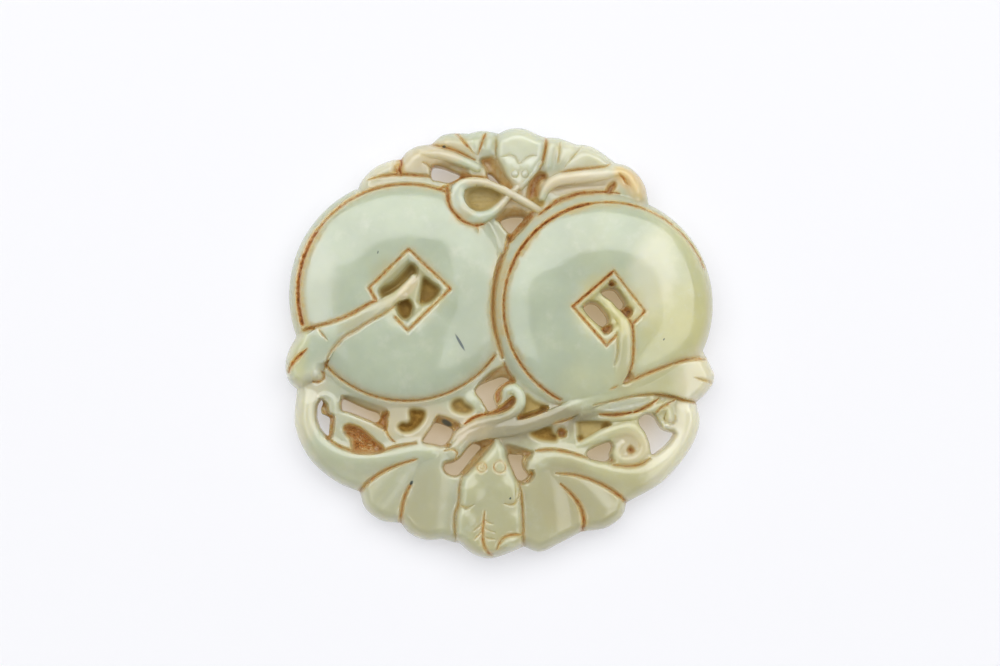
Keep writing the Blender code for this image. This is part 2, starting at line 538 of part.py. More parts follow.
def front_plan(rings):
    """Rows follow the edges and the carving, so that its steps and lines stay crisp, and a grid fills the rest."""
    plan = Plan(rings)
    edge_rows(plan, [0.2 * OUTLINE_ROUND, 0.6 * OUTLINE_ROUND], [0.4 * OPENING_ROUND, OPENING_ROUND], EDGE_STEP)
    for path in BANDS.values():
        path = smooth(path, CURVE_STEP)
        for side in (-1, 1):
            step_rows(plan, path[:, :2] + side * path[:, 2:3] * normals(path))
    for *_, ring in MOUNDS.values():
        ring = closed_shape(ring)
        step_rows(plan, np.concatenate([ring, ring[:1]]), closed=True)
    for name in PITS:
        ring = pit_ring(name)
        if name in SQUARE_PITS:
            for side in zip(ring, np.roll(ring, -1, axis=0)):
                step_rows(plan, np.array(side), 0.5 * PIT_STEP)
        else:
            step_rows(plan, np.concatenate([ring, ring[:1]]), 0.5 * PIT_STEP, closed=True)
    for coin in (RIGHT_COIN, LEFT_COIN):
        step_rows(plan, arc(coin["centre"], coin["radius"], 360, 0, CURVE_STEP), closed=True)
    for half_width, _, path in engraved_lines():
        rows = [beside(path, side * half_width, FEATURE_STEP) for side in (-1, 0, 1)]
        plan.add(np.concatenate(rows), SOFT_STEP)
    for path in BANDS.values():
        plan.add(beside(smooth(path, CURVE_STEP)[:, :2], 0, FEATURE_STEP), 0.4 * FEATURE_STEP)
    plan.add(grid(rings[0], FRONT_STEP), 0.6 * FRONT_STEP)
    return plan


def back_plan(rings):
    plan = Plan(rings)
    edge_rows(plan, [BACK_ROUND], [BACK_ROUND], 1.5 * EDGE_STEP)
    plan.add(grid(rings[0], BACK_STEP), 0.5 * BACK_STEP)
    return plan


def grid(ring, step):
    """Rows of points a step apart, each row shifted by half a step, over a ring's box."""
    low, high = ring.min(axis=0), ring.max(axis=0)
    rows = np.arange(low[1], high[1], step * math.sqrt(0.75))
    columns = np.arange(low[0], high[0], step)
    return np.array([(x + (i % 2) * step / 2, y) for i, y in enumerate(rows) for x in columns])


def edge_gaps(points, rings):
    """Distance to the outline, and to the nearest opening."""
    gaps = [np.abs(ring_distance(points, ring)) for ring in rings]
    return gaps[0], np.min(gaps[1:], axis=0)


def front_heights(points, rings):
    outer, inner = edge_gaps(points, rings)
    height = front(points)
    height = OUTLINE_EDGE + (height - OUTLINE_EDGE) * quarter_round(outer / OUTLINE_ROUND)
    return OPENING_EDGE + (height - OPENING_EDGE) * quarter_round(inner / OPENING_ROUND)


def back_heights(points, rings):
    outer, inner = edge_gaps(points, rings)
    return BACK_EDGE * (1 - quarter_round(np.minimum(outer, inner) / BACK_ROUND))


def build():
    rings = [outline(EDGE_STEP), *(smooth(points, EDGE_STEP, closed=True) for points in OPENINGS.values())]
    centre = (rings[0].min(axis=0) + rings[0].max(axis=0)) / 2
    top, top_faces = front_plan(rings).triangles()
    bottom, bottom_faces = back_plan(rings).triangles()
    corners = [
        np.column_stack([top - centre, front_heights(top, rings)]),
        np.column_stack([bottom - centre, back_heights(bottom, rings)]),
    ]
    below = len(top)
    walls, first = [], 0
    for ring in rings:
        numbers = first + np.arange(len(ring))
        following = np.roll(numbers, -1)
        if (signed_area(ring) > 0) != (first == 0):
            numbers, following = following, numbers
        walls += np.column_stack([below + numbers, below + following, following, numbers]).tolist()
        first += len(ring)
    faces = top_faces.tolist() + (below + bottom_faces[:, ::-1]).tolist() + walls
    mesh = bpy.data.meshes.new(NAME)
    mesh.from_pydata((np.concatenate(corners) * MM).tolist(), [], faces)
    mesh.validate()
    mesh.shade_smooth()
    mesh.set_sharp_from_angle(angle=math.radians(35))
    print("triangles", sum(len(face) - 2 for face in faces))
    return mesh


def jade_material():
    material = bpy.data.materials.new("jade")
    material.use_nodes = True
    shader = material.node_tree.nodes["Principled BSDF"]
    shader.inputs["Base Color"].default_value = JADE["colour"]
    shader.inputs["Roughness"].default_value = JADE["roughness"]
    return material


def main():
    for thing in list(bpy.data.objects):
        bpy.data.objects.remove(thing, do_unlink=True)
    collection = bpy.data.collections.new(NAME)
    bpy.context.scene.collection.children.link(collection)
    carving = bpy.data.objects.new(NAME, build())
    carving.data.materials.append(jade_material())
    collection.objects.link(carving)


main()
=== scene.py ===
"""A carved jade pendant: two overlapping cash coins threaded with ribbon, between two bats, in openwork.

The stone is one relief. Its plan is the outline and the openings. Its front is a height built up by coins,
mounds and strands and cut by pits, and its back is flat. Geometry Nodes engrave the lines and find where dirt
settles. Plan and heights are in millimetres until the mesh is made.
"""

import math

import bpy
import numpy as np
from mathutils import Matrix, Vector, noise
from mathutils.bvhtree import BVHTree
from mathutils.geometry import delaunay_2d_cdt


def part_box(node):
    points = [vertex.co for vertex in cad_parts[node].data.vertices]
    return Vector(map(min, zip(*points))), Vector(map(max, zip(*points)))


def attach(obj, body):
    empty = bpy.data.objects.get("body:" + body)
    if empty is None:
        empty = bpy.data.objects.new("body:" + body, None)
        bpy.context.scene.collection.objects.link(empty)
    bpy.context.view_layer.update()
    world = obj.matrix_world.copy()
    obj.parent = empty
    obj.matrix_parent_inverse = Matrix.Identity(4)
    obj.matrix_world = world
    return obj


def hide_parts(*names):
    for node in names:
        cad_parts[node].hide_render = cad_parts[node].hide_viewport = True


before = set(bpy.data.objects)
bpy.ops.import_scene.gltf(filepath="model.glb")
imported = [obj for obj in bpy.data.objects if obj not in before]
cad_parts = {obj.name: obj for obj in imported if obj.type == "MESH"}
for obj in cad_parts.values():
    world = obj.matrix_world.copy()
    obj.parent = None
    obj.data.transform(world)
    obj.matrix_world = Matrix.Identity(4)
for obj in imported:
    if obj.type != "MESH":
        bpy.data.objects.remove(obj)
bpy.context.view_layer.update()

CAD_NODE = "jade_carving"
MM = 0.001

# Heights above the flat back
GROUND = 4.9
OUTLINE_EDGE = 2.3
OPENING_EDGE = 2.7
BACK_EDGE = 1.0

# How far in from an edge its rounding reaches
OUTLINE_ROUND = 1.5
OPENING_ROUND = 0.45
BACK_ROUND = 0.9

# Spacing of the mesh
EDGE_STEP = 0.2
ROW_STEP = 0.22
CARVED_STEP = 0.215
COIN_STEP = 0.4
BACK_STEP = 1.5
CURVE_STEP = 0.12
CELL = 0.04
LINE_CLEARANCE = 0.09
RIM_CLEARANCE = 0.1
FILL_CLEARANCE = 0.6
COIN_CLEARANCE = 0.62
STRAND_MARGIN = 2.6
SQUARE_MARGIN = 1.5
PLAN_MARGIN = 2
STEP_CLEARANCE = 0.7
SAME_PLACE = 1e-6
BLOCK = 4096

# Rows of the mesh alongside the edges, as distances in from them
OUTLINE_ROWS = (0.05, 0.16, 0.34, 0.6, 0.95)
OPENING_ROWS = (0.06, 0.18, 0.36)
BACK_OUTLINE_ROWS = (0.1, 0.3, 0.6, 0.95)
BACK_OPENING_ROWS = (0.1, 0.3, 0.6)

# Width of the step where one carved shape stands over another
SOFT_STEP = 0.16

# The wall of an opening: rows down it, the drill's swells on it, and its share of the edge's dirt
WALL_ROWS = 3
WALL_BULGE = 0.06
WALL_SWELL = 0.9
WALL_SHIFT = 7.0
WALL_STAIN = 0.9

# A coin's face: it rises from its edge to a crown and dips again round the square hole
LEFT_COIN = {"centre": (-12.15, 6.3), "radius": 15.3, "edge": 4.0, "crown": 7.2, "dip": 0.6}
RIGHT_COIN = {"centre": (13.35, 5.05), "radius": 14.45, "edge": 4.3, "crown": 7.6, "dip": 0.6}
DOME_POWER = 3.2
DOME_FULLNESS = 0.6
DOME_INSET = 1.6
DIP_RADIUS = 5.5
TUCK_REACH = 9.0
TUCK_DEPTH = 0.6
RIM_SWELLS = ((135, 24, 0.4), (222, 22, 0.6))

# The outline, clockwise. Each lobe runs through its points from one notch to the next.
TOP_LEFT_NOTCH = (-18.5, 20.1)
TOP_RIGHT_NOTCH = (19.4, 18.6)
LEFT_NOTCH = (-26.5, 0.8)
RIGHT_NOTCH = (26.5, -1.0)
TOP_LOBES = (
    (TOP_LEFT_NOTCH, (-18.0, 21.2), (-16.3, 22.9), (-14.0, 23.9), (-12.9, 24.0)),
    ((-12.9, 24.0), (-12.2, 24.9), (-10.8, 25.7), (-8.9, 26.0)),
    ((-8.9, 26.0), (-7.6, 27.1), (-6.4, 27.4), (-4.1, 27.4)),
    ((-4.1, 27.4), (-2.4, 27.75), (-1.2, 27.6), (-0.2, 27.4)),
    ((-0.2, 27.4), (1.3, 28.0), (3.2, 28.0), (4.8, 27.3), (5.9, 26.9)),
    ((5.9, 26.9), (7.6, 26.8), (10.0, 26.0)),
    ((10.0, 26.0), (11.5, 25.85), (13.2, 25.0), (15.0, 23.6)),
    ((15.0, 23.6), (16.6, 23.2), (17.9, 22.2), (18.9, 20.7), TOP_RIGHT_NOTCH),
)
BOTTOM_LOBES = (
    (RIGHT_NOTCH, (27.3, -2.6), (28.0, -4.4), (27.2, -6.1), (25.6, -7.7)),
    ((25.6, -7.7), (26.05, -10.1), (25.15, -13.05), (21.4, -17.8), (16.5, -20.7)),
    ((16.5, -20.7), (16.0, -22.3), (14.0, -23.9), (10.6, -24.5)),
    ((10.6, -24.5), (7.9, -25.9), (5.2, -27.1), (3.1, -26.4)),
    ((3.1, -26.4), (1.3, -27.2), (-1.4, -27.95), (-3.6, -27.3), (-5.2, -26.0)),
    ((-5.2, -26.0), (-6.4, -25.75), (-7.4, -25.45)),
    ((-7.4, -25.45), (-9.8, -25.5), (-11.8, -24.6), (-12.85, -23.35)),
    ((-12.85, -23.35), (-15.4, -23.0), (-17.5, -21.4), (-18.2, -19.3)),
    ((-18.2, -19.3), (-21.1, -18.05), (-24.6, -15.1), (-26.6, -10.8), (-26.4, -5.95)),
    ((-26.4, -5.95), (-27.4, -5.0), (-27.9, -2.75), (-27.3, -0.6), LEFT_NOTCH),
)

# Openings cut right through
OPENINGS = {
    "left_wing_post": (
        (-23.15, -7.4), (-23.6, -8.0), (-23.75, -9.2), (-23.6, -10.2), (-23.2, -11.1), (-22.7, -11.75),
        (-22.3, -12.0), (-22.15, -10.8), (-22.1, -9.75), (-22.65, -9.4), (-23.1, -9.2), (-23.25, -8.6),
        (-23.0, -7.8),
    ),
    "left_wing_slot": (
        (-20.4, -7.3), (-20.45, -8.7), (-19.9, -8.85), (-18.7, -9.25), (-17.1, -9.9), (-16.05, -10.25),
        (-15.6, -9.7), (-15.8, -9.2), (-17.2, -8.65), (-18.8, -7.95), (-19.9, -7.45),
    ),
    "under_left_coin": (
        (-8.45, -10.4), (-7.4, -10.6), (-6.15, -11.3), (-6.3, -11.9), (-6.9, -12.9), (-7.4, -13.25),
        (-8.8, -13.0), (-9.9, -12.75), (-9.4, -11.8), (-8.8, -10.9),
    ),
    "between_coins_low": (
        (0.4, -4.4), (1.2, -4.75), (0.2, -5.35), (-0.6, -6.2), (-0.8, -7.2), (-0.5, -7.9), (-0.4, -8.2),
        (-1.5, -8.8), (-1.8, -8.3), (-2.4, -7.3), (-3.1, -6.3), (-2.7, -5.6), (-1.3, -4.9),
    ),
    "between_coins_high": (
        (0.1, 15.85), (1.0, 16.35), (2.6, 16.5), (3.1, 16.35), (2.2, 15.2), (1.3, 14.35), (0.65, 14.9),
    ),
    "left_of_loop": (
        (-8.9, 22.4), (-8.7, 22.9), (-7.6, 22.85), (-6.3, 22.4), (-5.2, 21.85), (-6.1, 21.15), (-6.8, 20.9),
        (-7.8, 21.1), (-8.8, 21.35),
    ),
    "left_of_face": ((-1.6, 22.1), (-1.2, 22.05), (-0.5, 21.4), (0.0, 20.75), (-0.6, 20.95), (-1.35, 21.4)),
    "head_left": (
        (-3.3, -13.1), (-2.5, -13.5), (-3.1, -14.3), (-4.0, -15.4), (-5.1, -16.75), (-5.6, -17.1),
        (-6.5, -17.0), (-7.1, -16.5), (-7.1, -15.85), (-6.2, -15.55), (-5.5, -15.2), (-4.8, -14.5),
        (-4.1, -13.6),
    ),
    "head_right": (
        (1.15, -14.5), (2.0, -14.5), (2.95, -14.6), (2.85, -15.3), (2.95, -16.1), (3.4, -16.8),
        (3.65, -17.15), (3.1, -17.75), (2.4, -17.75), (1.75, -16.5), (1.3, -15.4),
    ),
    "scroll_drop": (
        (11.4, -14.2), (12.3, -13.55), (13.4, -13.1), (14.3, -12.95), (14.5, -13.5), (14.2, -14.4),
        (14.2, -15.0), (13.7, -15.3), (12.7, -15.2), (11.5, -14.8),
    ),
    "right_crescent": (
        (18.1, -9.95), (19.0, -9.3), (20.0, -9.6), (20.5, -10.4), (21.1, -11.2), (22.0, -11.55),
        (22.5, -11.65), (22.35, -12.2), (21.8, -12.95), (20.9, -13.75), (19.8, -14.4), (19.45, -13.0),
        (18.9, -11.6), (18.2, -10.6),
    ),
    "right_square_high": (
        (13.2, 6.5), (14.0, 6.9), (14.9, 6.85), (15.6, 6.0), (16.1, 5.1), (15.6, 4.4), (14.4, 5.5),
    ),
    "right_square_low": (
        (10.9, 4.6), (11.6, 5.1), (12.5, 5.0), (13.3, 4.2), (13.9, 3.3), (13.9, 2.6), (13.2, 2.2),
        (12.3, 2.8), (11.4, 3.7),
    ),
}

# Openings whose edges are cleaner than the rest, and how brown those are
CLEAN_EDGES = {
    "right_crescent": 0.1, "scroll_drop": 0.2, "left_wing_post": 0.15, "right_square_high": 0.2,
    "right_square_low": 0.2,
}
EDGE_STAIN = 0.45
EDGE_STAIN_REACH = 0.3

# Mounds are closed shapes with a rounded edge: top height, reach of the rounding, edge height, and points
MOUNDS = {
    "top_bat": (5.85, 1.0, 5.1, (
        (-0.45, 31.0), (-0.5, 26.0), (-0.5, 24.4), (0.2, 22.8), (1.0, 21.2), (1.7, 20.4), (2.4, 20.0),
        (3.1, 20.5), (3.9, 21.4), (4.7, 22.5), (5.3, 23.5), (5.7, 24.8), (5.95, 31.0),
    )),
    "bottom_bat": (5.95, 0.9, 5.1, (
        (-0.45, -12.55), (-1.5, -13.8), (-2.8, -15.25), (-4.1, -16.6), (-4.95, -17.4), (-5.2, -18.1),
        (-5.4, -20.9), (-5.85, -22.4), (-5.85, -24.2), (-5.5, -26.4), (-4.0, -29.0), (1.0, -29.5),
        (3.1, -28.0), (2.95, -25.4), (2.9, -23.0), (2.75, -20.6), (2.5, -18.4), (2.1, -17.5), (1.5, -16.3),
        (0.8, -14.9), (0.4, -13.4),
    )),
    "left_knob": (6.3, 1.8, 4.2, (
        (-24.4, 1.9), (-25.6, 1.5), (-26.6, 0.9), (-28.4, -0.4), (-28.9, -2.8), (-28.0, -5.4), (-26.4, -6.1),
        (-25.2, -5.6), (-24.2, -5.1), (-23.2, -4.4), (-22.7, -3.5), (-22.3, -2.65), (-22.0, -1.4),
        (-21.4, -0.5), (-21.8, 0.6), (-23.1, 1.4),
    )),
}

# Faint unevenness of the polished faces, as rise, size and seed
POLISH = ((0.035, 4.5, 0.0), (0.012, 1.6, 9.0))
BACK_POLISH = (0.02, 5.0, 2.0)

# Soft swells, as centre, radius and rise. They fade out some way past their radius.
SWELL_SPREAD = 1.6
SWELLS = (
    (-3.8, -19.3, 1.5, 0.25), (1.0, -19.0, 1.4, 0.22), (-1.3, -17.0, 2.2, 0.2), (-4.5, -22.9, 1.1, 0.15),
    (1.9, -22.9, 1.0, 0.15), (1.45, -25.9, 1.1, 0.4), (1.4, 23.1, 0.75, 0.22), (3.6, 23.0, 0.75, 0.22),
    (2.5, 20.7, 0.5, 0.15), (-23.6, -4.4, 0.6, 0.5), (-12.9, -11.5, 0.35, 0.3), (-3.4, -7.5, 0.9, 0.35),
    (25.2, -6.1, 1.4, 0.25), (24.8, -3.6, 1.2, 0.2),
)

# Ridges rise softly out of what lies beside them: crest, half width, and points
RIDGES = {
    "left_wing_lip": (5.35, 2.1, (
        (-25.0, -8.0), (-24.9, -10.4), (-24.0, -12.4), (-22.4, -13.8), (-20.0, -14.9), (-16.9, -15.1),
        (-14.0, -14.7), (-11.5, -14.2), (-9.0, -14.1),
    )),
    "right_wing_lip": (5.35, 2.3, (
        (24.6, -9.0), (24.4, -11.0), (23.4, -13.3), (21.4, -15.3), (18.6, -16.9), (15.6, -17.0),
        (12.0, -16.1), (8.6, -15.1), (6.2, -15.0), (5.0, -15.8),
    )),
    "left_wing_mid": (5.15, 2.5, ((-11.5, -14.6), (-14.6, -18.6), (-16.2, -21.0))),
    "left_wing_low": (5.15, 3.2, ((-8.6, -14.6), (-8.9, -19.5), (-9.2, -23.5))),
    "right_wing_mid": (5.15, 2.5, ((7.0, -16.0), (10.6, -18.9), (13.4, -21.8))),
    "right_wing_low": (5.15, 3.4, ((5.3, -16.5), (6.2, -20.6), (6.6, -24.6))),
    "crossing": (5.45, 2.1, (
        (-5.6, -13.6), (-4.0, -11.9), (-1.5, -10.8), (1.0, -10.4), (4.0, -10.4), (7.0, -9.8),
    )),
    "lens_film": (5.95, 1.7, ((10.6, -9.1), (12.6, -8.5), (16.0, -8.0), (19.4, -7.2))),
    "top_left_leaf": (5.2, 1.4, ((-17.4, 21.6), (-15.4, 22.6), (-13.6, 23.0))),
    "top_left_fan": (5.18, 1.1, ((-7.8, 26.4), (-5.4, 25.8), (-3.6, 25.0))),
    "top_left_fan_mid": (5.18, 1.0, ((-3.9, 27.0), (-3.2, 25.4))),
    "top_left_fan_inner": (5.18, 0.8, ((-1.2, 26.9), (-1.6, 25.2))),
    "top_right_fan": (5.18, 0.8, ((6.9, 26.3), (6.4, 24.4), (6.3, 23.0))),
    "top_right_fan_mid": (5.18, 1.1, ((9.1, 25.4), (8.1, 24.0))),
    "top_right_fan_outer": (5.18, 1.3, ((13.6, 24.2), (11.0, 24.2), (9.2, 23.2))),
    "top_right_shoulder": (5.35, 1.2, ((14.6, 22.9), (16.4, 22.2), (17.6, 20.6), (18.0, 19.6))),
    "hook_curl": (5.1, 0.5, (
        (-21.6, -9.8), (-21.4, -8.4), (-21.8, -7.2), (-22.7, -6.8), (-23.5, -7.3), (-23.8, -8.4),
    )),
    "hook_right": (5.3, 0.7, ((20.5, -8.7), (21.6, -8.5), (22.0, -9.6), (21.6, -10.7), (21.0, -10.9))),
}

# Pits: floor height, width of the slope down into them, how brown they are, and points. Their floors rise a
# little towards the edge.
FLOOR_RISE = 0.2
FLOOR_RISE_REACH = 0.6
DEPTH_REACH = 2.0
PITS = {
    "hook_slot": (3.4, 0.5, 0.6, (
        (-22.95, -7.6), (-22.5, -7.9), (-22.35, -8.6), (-22.2, -9.3), (-22.7, -9.35), (-23.1, -8.9),
        (-23.2, -8.3),
    )),
    "post_wall": (2.6, 0.5, 0.6, (
        (-22.3, -9.3), (-21.6, -9.4), (-21.55, -10.8), (-21.75, -12.0), (-22.2, -12.5), (-22.5, -12.0),
        (-22.2, -10.8),
    )),
    "slot_corner": (2.2, 0.62, 0.85, (
        (-16.2, -10.4), (-15.75, -9.8), (-15.2, -9.2), (-14.6, -9.0), (-14.7, -10.0), (-14.85, -11.2),
        (-15.3, -10.9),
    )),
    "wing_drill": (3.0, 0.71, 0.8, (
        (-20.2, -11.0), (-19.7, -10.65), (-19.0, -10.75), (-18.2, -11.05), (-17.3, -11.7), (-16.2, -12.7),
        (-15.2, -13.6), (-15.3, -14.0), (-16.8, -14.15), (-19.0, -13.95), (-19.15, -13.1), (-19.35, -12.4),
        (-19.9, -11.8),
    )),
    "s_curl": (3.8, 1.1, 0.0, (
        (-11.6, -8.8), (-10.7, -8.75), (-9.9, -8.95), (-9.85, -9.5), (-10.2, -10.2), (-10.8, -10.9),
        (-11.7, -11.4), (-12.7, -11.4), (-13.1, -10.9), (-12.7, -10.5), (-12.0, -10.5), (-11.6, -10.0),
    )),
    "coin_wall": (2.8, 0.5, 0.5, (
        (-6.0, -10.6), (-5.3, -10.55), (-5.5, -11.5), (-6.2, -12.7), (-6.7, -13.5), (-7.2, -13.3),
        (-6.8, -12.8), (-6.1, -11.7),
    )),
    "comma": (4.1, 1.1, 0.0, (
        (-6.3, -8.1), (-6.1, -7.6), (-5.5, -7.3), (-4.95, -7.35), (-4.6, -7.8), (-3.9, -8.3), (-3.6, -8.7),
        (-4.1, -9.05), (-4.9, -9.1), (-5.9, -8.8),
    )),
    "volute_wall": (2.8, 0.5, 0.75, (
        (1.55, -4.5), (1.9, -4.95), (1.3, -5.3), (0.5, -5.7), (0.1, -6.4), (0.05, -7.3), (-0.3, -7.9),
        (-0.75, -7.4), (-0.7, -6.4), (0.1, -5.4),
    )),
    "volute_heart": (2.4, 0.53, 0.85, (
        (1.95, -7.2), (1.8, -7.9), (1.0, -8.6), (-0.2, -9.1), (-1.4, -9.35), (-1.9, -9.2), (-0.8, -8.6),
        (0.2, -8.2), (0.9, -7.6), (1.5, -7.1),
    )),
    "under_right_coin": (4.3, 0.9, 0.0, (
        (3.4, -6.8), (4.6, -7.6), (5.9, -8.3), (4.2, -8.9), (3.0, -9.3), (3.2, -8.1),
    )),
    "under_right_slot": (2.7, 0.53, 0.85, (
        (2.3, -9.9), (2.5, -9.5), (3.6, -9.2), (4.9, -8.8), (5.5, -8.3), (6.1, -8.35), (6.0, -8.8),
        (5.2, -9.2), (3.8, -9.6), (2.8, -10.1),
    )),
    "ribbon_hollow": (4.0, 1.0, 0.0, (
        (4.0, -11.8), (4.9, -11.4), (5.9, -11.0), (6.5, -11.1), (6.8, -11.7), (7.4, -12.1), (7.2, -12.6),
        (6.2, -12.6), (5.0, -12.4),
    )),
    "ribbon_drill": (3.0, 0.62, 0.85, (
        (7.4, -11.7), (7.7, -11.25), (8.2, -11.25), (8.5, -11.7), (8.2, -12.15), (7.7, -12.15),
    )),
    "scroll_corner": (4.2, 0.9, 0.0, (
        (10.1, -10.1), (12.0, -10.0), (13.9, -10.3), (14.3, -10.9), (13.1, -11.6), (11.8, -12.1),
        (10.7, -12.6), (10.2, -12.3), (10.1, -11.2),
    )),
    "scroll_corner_drill": (3.3, 0.55, 0.85, ((13.15, -10.9), (13.8, -10.35), (14.4, -10.9), (13.8, -11.45))),
    "scroll_corner_low": (3.4, 0.62, 0.9, ((10.1, -12.3), (10.5, -12.1), (10.8, -12.4), (10.4, -12.8))),
    "scroll_eye": (3.7, 0.62, 0.85, ((16.5, -13.9), (16.9, -13.45), (17.35, -13.9), (16.9, -14.3))),
    "scroll_notch": (3.8, 0.62, 0.51, ((14.3, -14.9), (14.7, -14.4), (14.7, -15.4), (14.0, -15.6))),
    "head_notch": (3.4, 0.62, 0.4, (
        (3.8, -14.1), (4.15, -14.15), (3.9, -14.8), (3.45, -15.4), (3.3, -16.1), (3.0, -16.0), (2.95, -15.2),
        (3.4, -14.5),
    )),
    "head_hook": (3.3, 0.5, 0.5, (
        (3.9, -16.6), (4.3, -16.8), (4.2, -17.4), (3.7, -18.0), (2.9, -18.2), (2.4, -17.95), (3.1, -17.85),
        (3.75, -17.3),
    )),
    "loop_heart": (4.2, 1.1, 0.0, (
        (-4.4, 18.9), (-4.0, 19.7), (-3.0, 20.15), (-1.5, 20.1), (-0.3, 19.8), (0.15, 19.2), (-0.2, 18.4),
        (-0.9, 17.8), (-1.6, 17.35), (-2.6, 17.1), (-3.5, 17.2), (-4.15, 17.9),
    )),
    "loop_corner": (3.0, 0.71, 0.85, (
        (-5.6, 21.5), (-5.2, 21.95), (-4.5, 22.0), (-4.0, 21.7), (-4.6, 21.3), (-5.4, 21.0), (-6.1, 20.7),
    )),
    "left_of_chin": (3.2, 0.7, 0.5, (
        (-2.5, 23.7), (-1.9, 24.0), (-1.3, 23.95), (-0.7, 23.1), (-0.2, 22.1), (0.2, 21.2), (0.6, 20.6),
        (1.2, 20.2), (0.9, 19.95), (0.1, 20.35), (-0.8, 21.0), (-1.5, 21.6), (-1.9, 22.5),
    )),
    "right_of_chin": (3.4, 0.8, 0.85, (
        (5.95, 21.9), (5.9, 21.4), (5.3, 21.1), (4.95, 20.4), (4.85, 19.6), (4.8, 18.9), (4.2, 18.5),
        (3.6, 18.7), (3.6, 19.6), (3.85, 20.6), (4.3, 21.5), (5.1, 22.1),
    )),
    "under_chin": (4.4, 0.8, 0.0, (
        (3.9, 18.6), (4.5, 18.8), (5.4, 18.6), (5.7, 18.0), (5.0, 17.6), (4.2, 18.0),
    )),
    "arm_hollow": (4.6, 1.1, 0.0, (
        (6.4, 19.6), (6.7, 20.3), (7.6, 20.6), (9.6, 20.8), (12.0, 20.9), (13.9, 20.9), (14.0, 20.1),
        (12.0, 19.7), (9.0, 19.3), (7.2, 18.9),
    )),
    "arm_drill": (3.9, 0.6, 0.75, (
        (13.75, 19.55), (13.9, 20.1), (14.4, 20.7), (14.95, 20.9), (15.0, 20.4), (14.7, 19.9), (14.4, 19.45),
    )),
    "leaf_crack": (4.2, 0.95, 0.42, (
        (-13.0, 24.2), (-12.7, 23.0), (-12.6, 21.9), (-13.3, 21.8), (-13.9, 22.3), (-13.6, 23.2),
    )),
    "left_square": (6.1, 0.5, 0.0, ((-15.7, 7.0), (-11.9, 10.6), (-7.8, 6.7), (-12.1, 2.6))),
    "left_square_slot": (4.0, 0.9, 0.0, (
        (-15.5, 6.6), (-15.2, 5.9), (-13.8, 6.5), (-12.3, 7.5), (-11.1, 8.6), (-10.95, 9.5), (-11.5, 10.0),
        (-12.4, 9.2), (-13.9, 7.7),
    )),
    "left_square_right": (4.4, 1.0, 0.0, (
        (-9.9, 8.2), (-8.9, 7.6), (-8.0, 6.8), (-8.4, 5.9), (-9.4, 5.2), (-10.5, 5.2), (-10.4, 6.2),
        (-10.1, 7.4),
    )),
    "left_square_low": (4.1, 0.9, 0.0, (
        (-13.2, 5.2), (-12.3, 5.7), (-11.6, 5.1), (-11.4, 4.3), (-11.8, 3.5), (-12.4, 3.1), (-13.1, 3.9),
    )),
    "right_square": (6.45, 0.5, 0.0, ((14.4, 8.1), (17.2, 4.3), (13.5, 0.9), (10.2, 4.5))),
    "right_square_drill": (4.0, 0.5, 1.2, ((15.6, 4.05), (16.3, 4.6), (16.95, 4.0), (16.35, 3.25))),
    "right_square_low_drill": (4.0, 0.5, 0.95, (
        (13.1, 1.7), (13.6, 2.3), (14.3, 2.2), (14.2, 1.5), (13.6, 1.2),
    )),
    "right_square_top": (5.0, 0.5, 1.0, ((14.0, 7.5), (14.4, 7.9), (14.8, 7.5), (14.4, 7.2))),
    "ribbon_fork": (5.9, 0.7, 0.55, ((15.6, -5.15), (16.3, -3.9), (17.1, -4.3), (16.4, -5.3))),
    "lens": (5.6, 0.95, 0.0, (
        (12.9, -8.5), (14.8, -7.9), (17.0, -7.4), (19.8, -7.1), (18.6, -8.2), (16.8, -8.8), (14.4, -9.05),
    )),
}

SQUARE_PITS = ("left_square", "right_square")

# Pits with soft brown silt on their floors, and how thick it lies. It creeps up their slopes.
SILT_CREEP = 0.75
SILT = {
    "s_curl": 0.86, "comma": 0.73, "under_right_coin": 0.65, "ribbon_hollow": 0.8, "scroll_corner": 0.6,
    "loop_heart": 0.62, "under_chin": 0.7, "arm_hollow": 0.12, "left_square_slot": 0.64,
    "left_square_right": 0.74, "left_square_low": 0.77,
}

